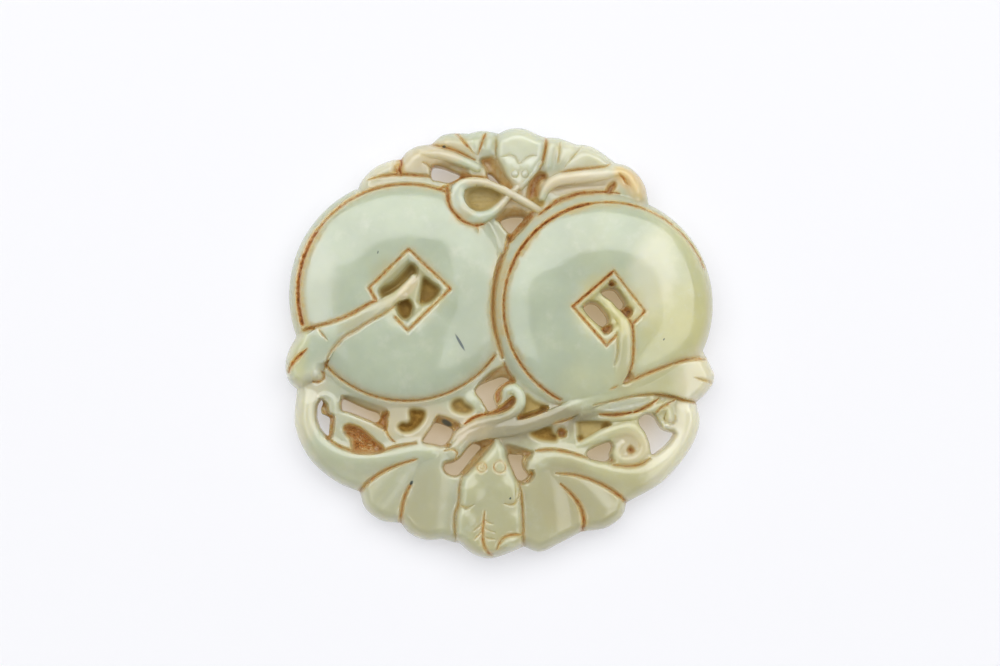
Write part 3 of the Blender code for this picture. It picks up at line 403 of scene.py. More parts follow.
# Slopes fall from a high place to a low one: both as (x, y, height), then the width of the step round them,
# how brown they are, and points
SLOPE_OVERRUN = (-0.3, 1.1)
SLOPES = {
    "head_wall": ((-2.5, -15.0, 4.5), (-3.3, -14.4, 2.9), 0.4, 0.45, (
        (-0.8, -12.5), (-2.4, -13.4), (-3.1, -14.3), (-4.0, -15.4), (-5.1, -16.8), (-4.7, -17.1),
        (-3.7, -16.1), (-2.4, -14.6), (-1.2, -13.2),
    )),
    "slot_roof": ((-18.0, -7.2, 4.6), (-18.4, -8.2, 3.4), 0.48, 0.15, (
        (-20.5, -7.0), (-19.0, -7.05), (-17.2, -7.7), (-15.7, -8.2), (-14.6, -8.6), (-15.4, -9.3),
        (-17.4, -8.6), (-19.0, -7.9), (-20.45, -7.4),
    )),
    "post_roof": ((-7.3, -9.4, 4.4), (-7.8, -10.6, 2.9), 0.48, 0.45, (
        (-8.1, -9.45), (-7.0, -9.6), (-5.5, -10.4), (-5.8, -11.3), (-7.1, -10.9), (-8.5, -10.6),
    )),
    "coins_roof": ((-0.2, -3.1, 4.2), (-0.6, -4.8, 2.9), 0.64, 0.42, (
        (0.5, -2.9), (0.9, -3.6), (1.5, -4.5), (0.6, -4.6), (-1.3, -5.0), (-2.7, -5.5), (-1.6, -4.2),
        (-0.4, -3.3),
    )),
    "high_gap_roof": ((1.6, 17.6, 4.9), (1.6, 16.1, 3.0), 0.64, 0.42, (
        (-0.5, 16.1), (0.4, 17.1), (1.0, 17.8), (2.0, 17.9), (3.2, 17.1), (3.5, 16.4), (2.6, 16.1),
        (1.0, 16.0), (0.1, 15.7),
    )),
    "high_gap_wall": ((3.5, 15.3, 4.1), (2.4, 15.5, 2.5), 0.48, 0.75, (
        (1.25, 14.2), (3.2, 16.4), (4.4, 17.1), (4.3, 16.4), (3.2, 15.1), (2.1, 14.0), (1.2, 13.1),
        (0.95, 13.7),
    )),
    "arm_wall": ((-7.4, 24.2, 5.4), (-7.0, 22.9, 4.1), 0.64, 0.22, (
        (-9.7, 24.2), (-8.5, 24.2), (-6.4, 23.5), (-4.3, 22.6), (-4.5, 22.0), (-5.3, 21.9), (-6.6, 22.4),
        (-8.0, 22.9), (-9.3, 23.2),
    )),
    "chin_slope": ((0.6, 22.6, 5.5), (-0.4, 22.0, 3.4), 0.64, 0.39, (
        (-1.4, 24.1), (-0.5, 24.1), (0.1, 23.1), (0.8, 21.6), (1.6, 20.4), (1.1, 20.1), (0.5, 20.7),
        (0.0, 21.5), (-0.6, 22.9),
    )),
    "head_roof": ((-2.2, -12.2, 4.4), (-2.9, -13.3, 3.0), 0.48, 0.5, (
        (-3.9, -12.1), (-2.4, -12.0), (-0.8, -12.2), (-1.0, -12.9), (-2.2, -13.6), (-3.5, -13.2),
    )),
    "head_roof_right": ((1.2, -12.9, 4.7), (1.6, -14.4, 3.0), 0.48, 0.3, (
        (0.5, -12.95), (1.6, -13.3), (3.4, -13.9), (3.9, -14.3), (3.2, -14.9), (2.9, -14.6), (1.2, -14.5),
        (0.75, -13.7),
    )),
    "ear_slope": ((-6.3, -15.2, 4.3), (-6.1, -16.4, 2.9), 0.48, 0.24, (
        (-7.2, -15.5), (-6.4, -15.2), (-5.6, -15.2), (-5.9, -16.2), (-6.6, -16.9), (-7.3, -16.4),
    )),
}

# Strands follow a path of (x, y, half width, crest height) and stand over what they cross
STRANDS = {
    "scroll": (
        (10.1, -13.3, 0.4, 5.05), (12.0, -12.55, 0.6, 5.15), (13.6, -11.8, 0.75, 5.2),
        (15.2, -11.3, 0.85, 5.2), (16.9, -11.1, 0.9, 5.2), (18.2, -12.0, 0.9, 5.2), (18.75, -13.4, 0.8, 5.2),
        (18.1, -14.7, 0.75, 5.2), (16.8, -15.2, 0.7, 5.2), (15.4, -15.0, 0.65, 5.15),
        (15.1, -13.9, 0.55, 5.1), (15.8, -12.95, 0.45, 5.05),
    ),
    "volute": (
        (-6.4, -12.6, 0.6, 5.1), (-5.2, -11.9, 0.7, 5.3), (-3.6, -10.9, 0.75, 5.4), (-1.6, -10.2, 0.7, 5.45),
        (0.2, -9.8, 0.65, 5.5), (1.8, -9.0, 0.65, 5.6), (2.6, -7.8, 0.65, 5.7), (2.4, -6.6, 0.65, 5.7),
        (1.6, -5.95, 0.6, 5.6), (0.8, -6.2, 0.55, 5.4), (0.55, -6.9, 0.4, 5.1),
    ),
    "under_ribbon": (
        (9.8, -9.9, 0.3, 5.3), (12.0, -9.7, 0.4, 5.4), (14.5, -9.75, 0.4, 5.4), (17.2, -9.5, 0.45, 5.4),
        (18.9, -8.9, 0.5, 5.5), (20.4, -8.2, 0.5, 5.4), (22.0, -7.6, 0.45, 5.2),
    ),
    "cross_ribbon": (
        (-6.2, -14.5, 0.5, 5.1), (-5.5, -13.4, 0.75, 5.3), (-4.2, -12.3, 0.95, 5.4),
        (-2.0, -11.5, 1.05, 5.45), (0.5, -11.1, 1.1, 5.5), (3.0, -10.8, 0.95, 5.5), (5.4, -10.1, 0.95, 5.6),
        (7.5, -9.3, 1.0, 5.8), (10.0, -8.2, 1.0, 6.1), (12.6, -7.2, 0.95, 6.4), (14.6, -6.5, 0.95, 6.5),
        (16.4, -5.95, 1.0, 6.5), (18.6, -5.45, 1.3, 6.4), (20.9, -5.0, 1.65, 6.3), (22.6, -4.85, 2.1, 6.2),
        (24.2, -4.8, 2.6, 6.1), (26.0, -4.8, 2.9, 5.9), (29.0, -4.8, 3.0, 5.7),
    ),
    "right_ribbon": (
        (12.7, 6.1, 0.45, 6.2), (13.6, 5.1, 0.5, 6.4), (14.9, 3.8, 0.6, 6.8), (15.7, 2.8, 0.7, 7.35),
        (16.1, 1.4, 0.85, 7.5), (16.1, 0.0, 0.95, 7.55), (16.05, -1.3, 1.0, 7.5), (15.8, -2.8, 1.05, 7.4),
        (15.2, -4.2, 1.05, 7.15), (14.2, -5.4, 1.05, 6.85), (12.9, -6.5, 0.95, 6.45),
    ),
    "left_ribbon": (
        (-11.2, 8.5, 0.4, 6.0), (-12.2, 7.2, 0.55, 6.2), (-13.4, 6.0, 0.65, 6.5), (-14.6, 5.15, 0.8, 6.85),
        (-15.9, 4.4, 0.9, 7.15), (-17.6, 3.35, 1.05, 7.25), (-19.4, 2.35, 1.15, 7.15),
        (-20.9, 1.6, 1.35, 6.95), (-22.4, 0.6, 1.75, 6.6), (-23.6, -0.6, 2.2, 6.4),
    ),
    "left_ribbon_fan": ((-14.4, 5.4, 0.6, 6.6), (-12.8, 6.2, 0.8, 6.25), (-11.5, 6.8, 1.1, 5.9)),
    "left_ribbon_end": (
        (-11.15, 8.5, 0.35, 6.0), (-10.85, 7.3, 0.35, 5.9), (-10.75, 6.0, 0.35, 5.8), (-10.9, 4.8, 0.35, 5.7),
        (-11.2, 3.9, 0.35, 5.5),
    ),
    "loop_under": (
        (-5.75, 19.0, 0.95, 6.2), (-5.35, 17.7, 0.95, 6.2), (-4.3, 16.7, 0.85, 6.2), (-2.8, 16.25, 0.75, 6.1),
        (-1.3, 16.7, 0.6, 6.1), (-0.2, 17.6, 0.5, 6.0), (0.9, 18.8, 0.4, 6.0), (2.1, 20.1, 0.4, 5.9),
    ),
    "loop_over": (
        (-5.75, 18.9, 0.95, 6.2), (-5.3, 20.1, 0.85, 6.2), (-4.2, 20.75, 0.7, 6.25), (-2.6, 20.85, 0.55, 6.3),
        (-1.0, 20.45, 0.5, 6.35), (0.4, 19.8, 0.5, 6.4), (1.7, 19.1, 0.5, 6.4), (3.2, 18.3, 0.5, 6.2),
        (4.4, 17.6, 0.45, 5.8), (5.4, 17.0, 0.35, 5.3), (6.2, 16.5, 0.25, 4.8),
    ),
    "top_left_arm": (
        (-10.4, 24.9, 0.5, 5.1), (-8.4, 24.6, 0.65, 5.35), (-6.4, 24.1, 0.65, 5.5), (-4.6, 23.4, 0.6, 5.6),
        (-3.0, 22.7, 0.5, 5.6),
    ),
    "top_right_arm": (
        (5.4, 18.9, 0.45, 5.5), (5.8, 19.8, 0.55, 5.7), (6.5, 20.6, 0.7, 5.75), (7.7, 21.2, 0.8, 5.75),
        (9.5, 21.45, 0.8, 5.65), (12.5, 21.8, 0.75, 5.5), (14.9, 22.1, 0.6, 5.3), (15.9, 21.8, 0.4, 5.1),
    ),
    "chin_ridge": (
        (5.3, 23.4, 0.25, 5.9), (4.5, 22.3, 0.3, 5.9), (3.7, 21.3, 0.3, 5.9), (2.6, 20.2, 0.35, 5.9),
    ),
}
STRAND_SAG = 0.38
STRAND_ROUNDNESS = 2.5
STRAND_FULL_SAG = 0.6
STRAND_REACH = 3.4
STRANDS_ON_COINS = ("right_ribbon", "left_ribbon", "cross_ribbon", "loop_over")

# Engraved lines, as depth, how brown, and a path of (x, y, half width). Narrow stretches are shallower.
RIB = 0.34
HAIR = 0.18
FULL_WIDTH = 0.3
LEAST_SHARE = 0.4
MOST_SHARE = 1.2
EYE_RING_DEPTH = 0.2
EYE_RING_WIDTH = 0.15
LINES = {
    "left_wing_outer": (0.45, 0.55, (
        (-18.2, -19.3, 0.4), (-17.1, -18.05, 0.4), (-15.0, -16.6, RIB), (-12.9, -15.7, 0.3),
        (-10.9, -15.1, 0.2),
    )),
    "left_wing_inner": (0.45, 0.55, (
        (-12.85, -23.3, 0.4), (-12.8, -22.0, 0.4), (-12.5, -20.4, RIB), (-12.0, -19.1, RIB),
        (-11.55, -18.3, 0.25),
    )),
    "right_wing_outer": (0.45, 0.52, (
        (7.2, -16.9, 0.2), (9.5, -17.1, 0.3), (12.2, -17.9, RIB), (14.6, -19.2, 0.4), (16.5, -20.7, 0.4),
    )),
    "right_wing_inner": (0.5, 0.62, (
        (7.8, -18.3, 0.2), (9.2, -19.6, RIB), (10.3, -21.1, 0.4), (10.8, -22.7, 0.42), (10.7, -24.5, 0.4),
    )),
    "left_wing_top": (0.5, 0.5, (
        (-22.5, -12.2, 0.25), (-21.3, -13.15, 0.3), (-19.2, -14.0, RIB), (-17.0, -14.25, RIB),
        (-15.1, -13.95, RIB), (-13.0, -13.35, RIB), (-10.9, -13.0, 0.25),
    )),
    "right_wing_top": (0.45, 0.5, (
        (4.6, -14.0, 0.2), (5.6, -13.9, RIB), (6.8, -13.85, RIB), (8.4, -14.1, RIB), (10.4, -14.65, 0.25),
        (11.4, -15.0, 0.15),
    )),
    "scroll_under": (0.45, 0.46, (
        (14.6, -15.8, 0.3), (16.4, -16.0, RIB), (18.2, -15.75, RIB), (19.4, -15.0, 0.25),
    )),
    "slot_tail": (0.45, 0.53, (
        (-14.9, -11.0, 0.3), (-14.5, -12.0, 0.25), (-14.0, -12.6, 0.25), (-13.7, -12.8, 0.15),
    )),
    "ribbon_top_left": (0.4, 0.62, (
        (-25.5, 1.65, 0.3), (-24.4, 1.95, RIB), (-22.4, 2.4, RIB), (-20.0, 3.25, RIB), (-18.2, 4.2, RIB),
        (-16.8, 5.05, 0.3), (-16.0, 5.3, 0.2),
    )),
    "ribbon_low_left": (0.28, 0.45, (
        (-13.6, 4.7, 0.2), (-15.2, 3.6, 0.3), (-17.2, 2.5, 0.3), (-18.8, 1.45, 0.35), (-20.2, 0.65, 0.35),
        (-21.4, -0.6, 0.35), (-22.1, -1.6, 0.3), (-22.5, -2.8, 0.2),
    )),
    "knob_fold_left": (0.25, 0.45, ((-23.4, 1.5, 0.2), (-22.9, 0.9, 0.25), (-22.4, 0.3, 0.15))),
    "knob_crease_left": (0.5, 0.8, (
        (-25.1, -1.0, 0.1), (-25.7, -1.5, 0.3), (-26.4, -2.2, 0.4), (-27.0, -2.95, 0.35), (-27.4, -3.9, 0.2),
    )),
    "knob_bump_left": (0.4, 0.53, (
        (-24.2, -5.1, 0.2), (-23.4, -5.05, 0.25), (-22.85, -4.6, 0.25), (-22.9, -3.9, 0.2),
        (-23.2, -3.7, 0.1),
    )),
    "ribbon_top_right": (0.4, 0.56, (
        (16.0, -5.2, 0.3), (17.0, -4.85, RIB), (19.5, -3.8, RIB), (22.1, -2.8, RIB), (24.3, -2.2, RIB),
        (26.6, -2.1, 0.35),
    )),
    "ribbon_low_right": (0.4, 0.4, (
        (12.1, -8.1, 0.15), (14.8, -7.5, 0.25), (17.8, -6.85, 0.3), (20.9, -6.7, RIB), (23.0, -7.2, RIB),
        (25.6, -7.75, RIB),
    )),
    "lens_groove_left": (0.4, 0.7, (
        (12.8, -9.25, 0.2), (14.4, -9.35, 0.3), (15.9, -9.25, 0.3), (17.0, -9.0, 0.15),
    )),
    "lens_groove_right": (0.4, 0.7, (
        (17.3, -9.05, 0.15), (18.5, -8.55, 0.3), (19.6, -7.85, 0.3), (20.5, -7.25, 0.15),
    )),
    "hook_volute": (0.35, 0.2, (
        (21.5, -8.9, 0.1), (21.3, -9.8, 0.32), (21.9, -10.45, 0.34), (22.6, -10.2, 0.25), (22.7, -9.5, 0.12),
    )),
    "hook_line_right": (0.35, 0.56, (
        (20.1, -9.2, 0.15), (20.9, -8.35, 0.3), (21.9, -7.8, 0.25), (22.6, -7.35, 0.15),
    )),
    "knob_crease_right": (0.4, 0.4, (
        (25.2, -4.55, 0.1), (26.2, -4.85, 0.28), (27.0, -5.05, 0.28), (27.7, -5.3, 0.2),
    )),
    "ribbon_right_edge": (0.4, 0.59, (
        (16.5, 3.0, 0.2), (16.95, 2.2, 0.3), (17.1, 0.8, 0.3), (17.1, -1.3, 0.3), (16.9, -3.0, 0.3),
        (16.6, -3.9, 0.3),
    )),
    "ribbon_left_edge": (0.3, 0.2, (
        (15.0, 1.3, 0.15), (15.1, 0.0, 0.25), (15.0, -1.8, 0.25), (14.6, -3.0, 0.15),
    )),
    "fork_line": (0.35, 0.53, ((14.2, -6.05, 0.15), (14.7, -5.85, 0.25), (15.1, -5.6, 0.15))),
    "under_ribbon_line": (0.35, 0.53, ((6.8, -10.55, 0.15), (7.8, -10.2, 0.25), (9.3, -9.75, 0.15))),
    "hook_fold": (0.35, 0.46, (
        (-7.2, -14.0, 0.15), (-6.2, -13.8, 0.25), (-5.6, -14.3, 0.25), (-5.9, -15.2, 0.15),
    )),
    "volute_saw": (0.4, 0.9, (
        (-4.6, -10.5, 0.15), (-3.8, -9.95, 0.3), (-2.9, -9.5, 0.3), (-1.9, -9.25, 0.2),
    )),
    "neck_left": (0.35, 0.36, (
        (-5.0, -17.3, 0.2), (-5.25, -18.5, 0.3), (-5.3, -20.4, 0.3), (-5.75, -22.2, RIB), (-5.85, -24.2, RIB),
        (-5.6, -26.2, 0.3),
    )),
    "neck_right": (0.35, 0.4, (
        (2.3, -18.2, 0.2), (2.65, -19.5, 0.3), (2.85, -22.0, 0.3), (2.9, -24.2, RIB), (3.0, -26.6, RIB),
    )),
    "head_edge": (0.25, 0.3, (
        (-1.3, -13.5, 0.2), (-2.6, -14.95, 0.3), (-4.0, -16.4, 0.3), (-5.0, -17.3, 0.25),
    )),
    "shoulder_left": (0.3, 0.33, ((-5.2, -21.0, 0.2), (-4.4, -21.35, 0.25), (-3.5, -21.0, 0.1))),
    "shoulder_right": (0.3, 0.33, (
        (0.5, -20.8, 0.1), (1.5, -20.95, 0.25), (2.3, -20.1, 0.2), (2.5, -19.0, 0.1),
    )),
    "cheek_right": (0.25, 0.2, ((1.9, -18.4, 0.1), (2.05, -19.3, 0.2), (1.9, -20.2, 0.1))),
    "spine": (0.35, 0.59, (
        (-2.05, -21.8, 0.12), (-2.2, -23.2, 0.24), (-2.3, -25.0, 0.28), (-2.15, -26.0, 0.3),
        (-1.85, -26.8, 0.3), (-1.1, -27.5, 0.25),
    )),
    "chevron_1": (0.22, 0.4, ((-2.4, -23.4, HAIR), (-3.1, -24.0, 0.15), (-3.5, -24.3, 0.08))),
    "chevron_2": (0.22, 0.4, ((-2.4, -24.5, HAIR), (-3.1, -25.1, 0.15), (-3.4, -25.4, 0.08))),
    "chevron_3": (0.22, 0.33, ((-2.1, -24.0, HAIR), (-1.3, -24.35, 0.15), (-0.8, -24.5, 0.08))),
    "chevron_4": (0.22, 0.33, ((-2.1, -25.1, HAIR), (-1.3, -25.35, 0.15), (-0.8, -25.4, 0.08))),
    "chevron_5": (0.22, 0.33, ((-2.1, -22.9, HAIR), (-1.5, -23.3, 0.15), (-1.1, -23.4, 0.08))),
    "bead_arc": (0.35, 0.53, (
        (-0.5, -26.8, 0.15), (-0.25, -26.1, 0.25), (0.2, -25.4, 0.3), (0.9, -24.95, 0.3), (1.9, -24.8, 0.3),
        (2.8, -24.9, 0.2),
    )),
    "leaf_crack_line": (0.4, 0.9, (
        (-12.9, 24.0, 0.3), (-12.85, 23.2, 0.3), (-13.05, 22.5, 0.3), (-12.9, 21.8, 0.3),
    )),
    "leaf_crack_side": (0.3, 0.59, ((-13.8, 23.0, 0.1), (-13.4, 22.4, 0.25), (-13.2, 21.8, 0.25))),
    "left_rim_top": (0.45, 0.56, (
        (-17.2, 21.1, 0.15), (-15.6, 21.55, 0.3), (-13.2, 21.85, 0.35), (-11.0, 21.75, 0.35),
        (-9.2, 21.6, 0.3), (-8.85, 21.5, 0.2),
    )),
    "curl_notch": (0.35, 0.4, (
        (-10.1, 23.4, 0.15), (-9.5, 23.2, 0.25), (-9.1, 22.7, 0.25), (-8.9, 22.0, 0.2),
    )),
    "top_left_outer": (0.45, 0.53, (
        (-9.0, 25.85, 0.3), (-7.4, 25.45, RIB), (-5.8, 24.95, 0.3), (-4.6, 24.4, 0.3), (-3.3, 23.75, 0.15),
    )),
    "top_left_middle": (0.45, 0.59, (
        (-5.65, 27.3, 0.35), (-4.9, 26.3, 0.3), (-4.1, 25.3, 0.25), (-3.5, 24.6, 0.12),
    )),
    "top_left_inner": (0.45, 0.59, ((-1.9, 27.2, 0.3), (-2.4, 26.0, 0.25), (-2.85, 24.5, 0.12))),
    "top_body_left": (0.3, 0.3, ((-0.35, 27.2, 0.3), (-0.5, 25.8, 0.3), (-0.6, 24.3, 0.15))),
    "top_body_right": (0.45, 0.56, (
        (5.95, 27.0, 0.3), (5.95, 26.0, 0.33), (5.7, 24.6, 0.3), (5.4, 23.3, 0.2), (5.1, 22.6, 0.12),
    )),
    "top_right_inner": (0.35, 0.33, ((7.75, 26.0, 0.25), (7.7, 24.9, 0.25), (7.45, 23.4, 0.15))),
    "top_right_outer": (0.3, 0.23, ((10.9, 25.8, 0.2), (9.9, 24.7, 0.22), (8.3, 22.8, 0.12))),
    "top_right_arm": (0.35, 0.4, (
        (7.9, 22.1, 0.2), (9.2, 22.4, 0.33), (12.0, 22.75, 0.3), (13.9, 23.0, 0.25), (14.5, 23.4, 0.12),
    )),
    "brow": (0.25, 0.26, (
        (0.2, 24.05, 0.12), (1.2, 24.3, 0.2), (1.9, 24.0, 0.2), (2.5, 23.2, 0.2), (3.2, 23.85, 0.2),
        (4.2, 24.25, 0.2), (4.6, 24.2, 0.1),
    )),
    "curl_right": (0.4, 0.59, (
        (15.5, 21.75, 0.15), (15.9, 21.5, 0.25), (16.3, 20.9, 0.25), (16.7, 20.5, 0.1),
    )),
    "loop_edge": (0.45, 0.72, (
        (-7.6, 20.1, 0.2), (-7.1, 20.2, 0.35), (-6.85, 19.3, 0.4), (-6.75, 18.2, 0.35), (-6.35, 17.2, 0.33),
        (-5.6, 16.35, 0.33), (-4.95, 15.75, 0.33), (-4.0, 15.3, 0.3), (-3.0, 15.15, 0.3), (-2.2, 15.35, 0.2),
    )),
    "loop_spur": (0.3, 0.53, ((-3.0, 15.1, 0.25), (-2.9, 14.5, 0.12))),
    "loop_top": (0.4, 0.59, (
        (-6.9, 20.3, 0.3), (-6.2, 20.9, 0.4), (-5.3, 21.4, 0.4), (-4.0, 21.55, 0.3), (-2.6, 21.5, 0.25),
        (-1.7, 21.5, 0.2),
    )),
    "right_rim_top": (0.4, 0.75, (
        (4.9, 16.55, 0.2), (6.2, 17.5, 0.3), (7.3, 18.35, 0.42), (8.6, 18.85, 0.42), (10.0, 19.35, 0.38),
        (12.0, 19.55, 0.3), (13.8, 19.6, 0.25), (15.5, 19.4, 0.15),
    )),
    "right_rim_side": (0.4, 0.5, (
        (1.2, 14.15, 0.42), (0.8, 12.6, 0.48), (0.05, 10.5, 0.52), (-0.45, 8.7, 0.52), (-0.85, 7.0, 0.52),
        (-1.0, 5.0, 0.52), (-0.98, 3.5, 0.52), (-0.82, 2.0, 0.48), (-0.5, 0.7, 0.48), (0.0, -0.8, 0.42),
        (0.3, -1.9, 0.35),
    )),
    "right_rim_low": (0.4, 0.59, ((0.45, -2.6, 0.25), (0.8, -3.4, 0.33), (1.3, -4.3, 0.3), (1.7, -5.0, 0.2))),
    "gap_line": (0.3, 0.4, ((0.4, 11.6, 0.12), (0.7, 12.8, 0.25), (1.1, 14.0, 0.3))),
}
RING_LINES = (
    # depth, how brown, centre, radius, start and end angle, half width
    (0.5, 0.6, (-12.15, 6.5), 14.05, 67, 145, 0.34),
    (0.55, 1.0, (-12.15, 6.5), 14.05, 145, 197, 0.4),
    (0.5, 0.55, (-12.15, 6.5), 14.05, 222, 325, 0.3),
    (0.5, 0.6, (13.95, 4.65), 13.55, 22, 100, 0.26),
    (0.55, 0.95, (13.95, 4.65), 13.55, 100, 160, 0.32),
    (0.5, 0.7, (13.95, 4.65), 13.55, 160, 243, 0.3),
)
SQUARE_LINES = (
    # depth, how brown, half width, corners
    (0.35, 0.6, 0.3, ((-17.0, 7.0), (-11.9, 12.0), (-6.5, 6.9), (-12.0, 1.5), (-13.6, 3.2))),
    (0.35, 0.7, 0.3, ((-16.1, 5.4), (-17.0, 7.0))),
    (0.35, 0.6, 0.28, ((17.0, 2.3), (18.6, 4.0))),
    (0.35, 0.55, 0.26, ((18.6, 4.0), (14.6, 9.2))),
    (0.4, 1.0, 0.26, ((14.6, 9.2), (9.3, 4.6))),
    (0.35, 0.65, 0.28, ((9.3, 4.6), (13.65, -0.4), (15.0, 1.0))),
)
EYES = (
    # centre, radius of the engraved ring, rise of the bead inside it, how brown
    (-2.45, -16.15, 0.62, 0.0, 0.5), (-2.45, -16.15, 0.25, 0.0, 0.4), (-0.1, -16.1, 0.78, 0.0, 0.5),
    (1.86, 21.84, 0.48, 0.35, 0.25), (3.14, 21.84, 0.48, 0.35, 0.25),
)
RIPPLE_FADE = 0.4
RIPPLE_WANDER = 0.8
WANDER_SIZE = 1.2
WANDER_SEED = 4.0
RIPPLES = (
    # where drilling left ridges: pit, direction they run in, spacing, depth
    ("wing_drill", 62, 0.42, 0.16), ("loop_heart", 85, 0.6, 0.07), ("post_wall", 5, 0.5, 0.08),
)


def smooth(points, step, closed=False):
    """Points about a step apart on a smooth curve through the given ones. Other columns are carried along."""
    points = np.array(points, float)
    if closed:
        points = np.concatenate([points[-1:], points, points[:2]])
    else:
        points = np.concatenate([[2 * points[0] - points[1]], points, [2 * points[-1] - points[-2]]])
    knots = np.cumsum([0, *np.sqrt(np.linalg.norm(np.diff(points[:, :2], axis=0), axis=1))])
    curve = []
    for i in range(1, len(points) - 2):
        before, start, end, after = points[i - 1 : i + 3]
        t0, t1, t2, t3 = knots[i - 1 : i + 3]
        span = t2 - t1
        leave = span * ((start - before) / (t1 - t0) - (end - before) / (t2 - t0) + (end - start) / span)
        arrive = span * ((end - start) / span - (after - start) / (t3 - t1) + (after - end) / (t3 - t2))
        count = max(1, round(np.linalg.norm((end - start)[:2]) / step))
        t = (np.arange(count) / count)[:, None]
        curve.append(
            (2 * t**3 - 3 * t**2 + 1) * start
            + (t**3 - 2 * t**2 + t) * leave
            + (3 * t**2 - 2 * t**3) * end
            + (t**3 - t**2) * arrive
        )
    if not closed:
        curve.append(points[-2:-1])
    return np.concatenate(curve)


def arc(centre, radius, start, end, step):
    """Points on a circle from one angle to another, in degrees."""
    count = max(2, round(math.radians(abs(start - end)) * radius / step))
    angles = np.radians(np.linspace(start, end, count + 1))
    return np.array(centre) + radius * np.column_stack([np.cos(angles), np.sin(angles)])


def bearing(centre, point):
    return math.degrees(math.atan2(point[1] - centre[1], point[0] - centre[0]))


def outline(step):
    """The silhouette, clockwise from the left notch."""
    left, right = LEFT_COIN, RIGHT_COIN
    left_side = bearing(left["centre"], LEFT_NOTCH) + 360, bearing(left["centre"], TOP_LEFT_NOTCH)
    right_side = bearing(right["centre"], TOP_RIGHT_NOTCH), bearing(right["centre"], RIGHT_NOTCH)
    first = arc(left["centre"], left["radius"], *left_side, step)
    second = arc(right["centre"], right["radius"], *right_side, step)
    top = [smooth(lobe, step)[:-1] for lobe in TOP_LOBES]
    bottom = [smooth(lobe, step)[:-1] for lobe in BOTTOM_LOBES]
    return np.concatenate([first[1:-1], *top, second[1:-1], *bottom])


def inside(points, ring):
    """Which points lie inside a closed ring."""
    low, high = ring.min(axis=0), ring.max(axis=0)
    near = np.flatnonzero(((points >= low) & (points <= high)).all(axis=1))
    ax, ay = ring[:, 0], ring[:, 1]
    bx, by = np.roll(ax, -1), np.roll(ay, -1)
    run = (bx - ax) / np.where(by == ay, 1.0, by - ay)
    found = np.zeros(len(points), bool)
    for block in np.array_split(near, len(near) // BLOCK + 1):
        x, y = points[block, :1], points[block, 1:2]
        crossed = ((ay > y) != (by > y)) & (x < ax + (y - ay) * run)
        found[block] = crossed.sum(axis=1) % 2 == 1
    return found


class Trail:
    """A path that distances are measured from, with any columns that vary along it."""

    def __init__(self, path, closed=False):
        self.path = np.concatenate([path, path[:1]]) if closed else path
        count = len(self.path)
        low = [(x, y, -1.0) for x, y in self.path[:, :2].tolist()]
        high = [(x, y, 1.0) for x, y in self.path[:, :2].tolist()]
        walls = [(i, i + 1, count + i + 1, count + i) for i in range(count - 1)]
        self.tree = BVHTree.FromPolygons(low + high, walls)

    def near(self, points, reach):
        """Each point's distance, cut off at the reach, and the path's columns at the place nearest to it."""
        low, high = self.path[:, :2].min(axis=0) - reach, self.path[:, :2].max(axis=0) + reach
        gaps = np.full(len(points), float(reach))
        places = np.zeros(len(points))
        for i in np.flatnonzero(((points > low) & (points < high)).all(axis=1)).tolist():
            spot, _, wall, gap = self.tree.find_nearest((points[i, 0], points[i, 1], 0.0), reach)
            if spot is None:
                continue
            gaps[i] = gap
            start, end = self.path[wall], self.path[wall + 1]
            along = math.hypot(spot[0] - start[0], spot[1] - start[1])
            places[i] = wall + along / max(1e-9, math.hypot(end[0] - start[0], end[1] - start[1]))
        index = np.arange(len(self.path))
        return gaps, np.column_stack([np.interp(places, index, column) for column in self.path.T])


def pit_ring(name):
    """A pit's edge: straight between its corners in the square holes, a smooth curve elsewhere."""
    points = np.array(PITS[name][3])
    if name not in SQUARE_PITS:
        return smooth(points, CURVE_STEP, closed=True)
    sides = zip(points, np.roll(points, -1, axis=0))
    return np.concatenate([np.linspace(a, b, round(math.dist(a, b) / CURVE_STEP) + 1)[:-1] for a, b in sides])


class Shape:
    """A closed area with its edge."""

    def __init__(self, ring):
        self.ring = ring
        self.edge = Trail(self.ring, closed=True)

    def depth(self, points, reach):
        """How far inside the edge each point is, negative outside, never past the reach."""
        gaps, _ = self.edge.near(points, reach)
        return np.where(inside(points, self.ring), gaps, -gaps)


def ease(value):
    """0 below 0, 1 above 1, and smooth between."""
    value = np.clip(value, 0, 1)
    return value * value * (3 - 2 * value)


def quarter_round(value):
    """A quarter circle's rise, from 0 at 0 to 1 at 1."""
    return np.sqrt(1 - (1 - np.clip(value, 0, 1)) ** 2)


def ripple(points, size, seed=0.0):
    """Smooth noise of about -1 to 1 over the plan, with swells about the size across."""
    return np.array([noise.noise((x / size, y / size, seed)) for x, y in points.tolist()])


def coin_face(points, coin, swells=()):
    """A coin's height and how far inside its rim each point is."""
    away = points - coin["centre"]
    reach = np.linalg.norm(away, axis=1)
    angle = np.degrees(np.arctan2(away[:, 1], away[:, 0]))
    radius = np.full(len(points), coin["radius"])
    for middle, width, rise in swells:
        radius += rise * np.exp(-((((angle - middle + 180) % 360 - 180) / width) ** 2))
    dome = np.clip(1 - (reach / radius) ** DOME_POWER, 0, 1) ** DOME_FULLNESS
    dip = coin["dip"] * np.exp(-((reach / DIP_RADIUS) ** 2))
    return coin["edge"] + (coin["crown"] - coin["edge"]) * dome - dip, radius - reach


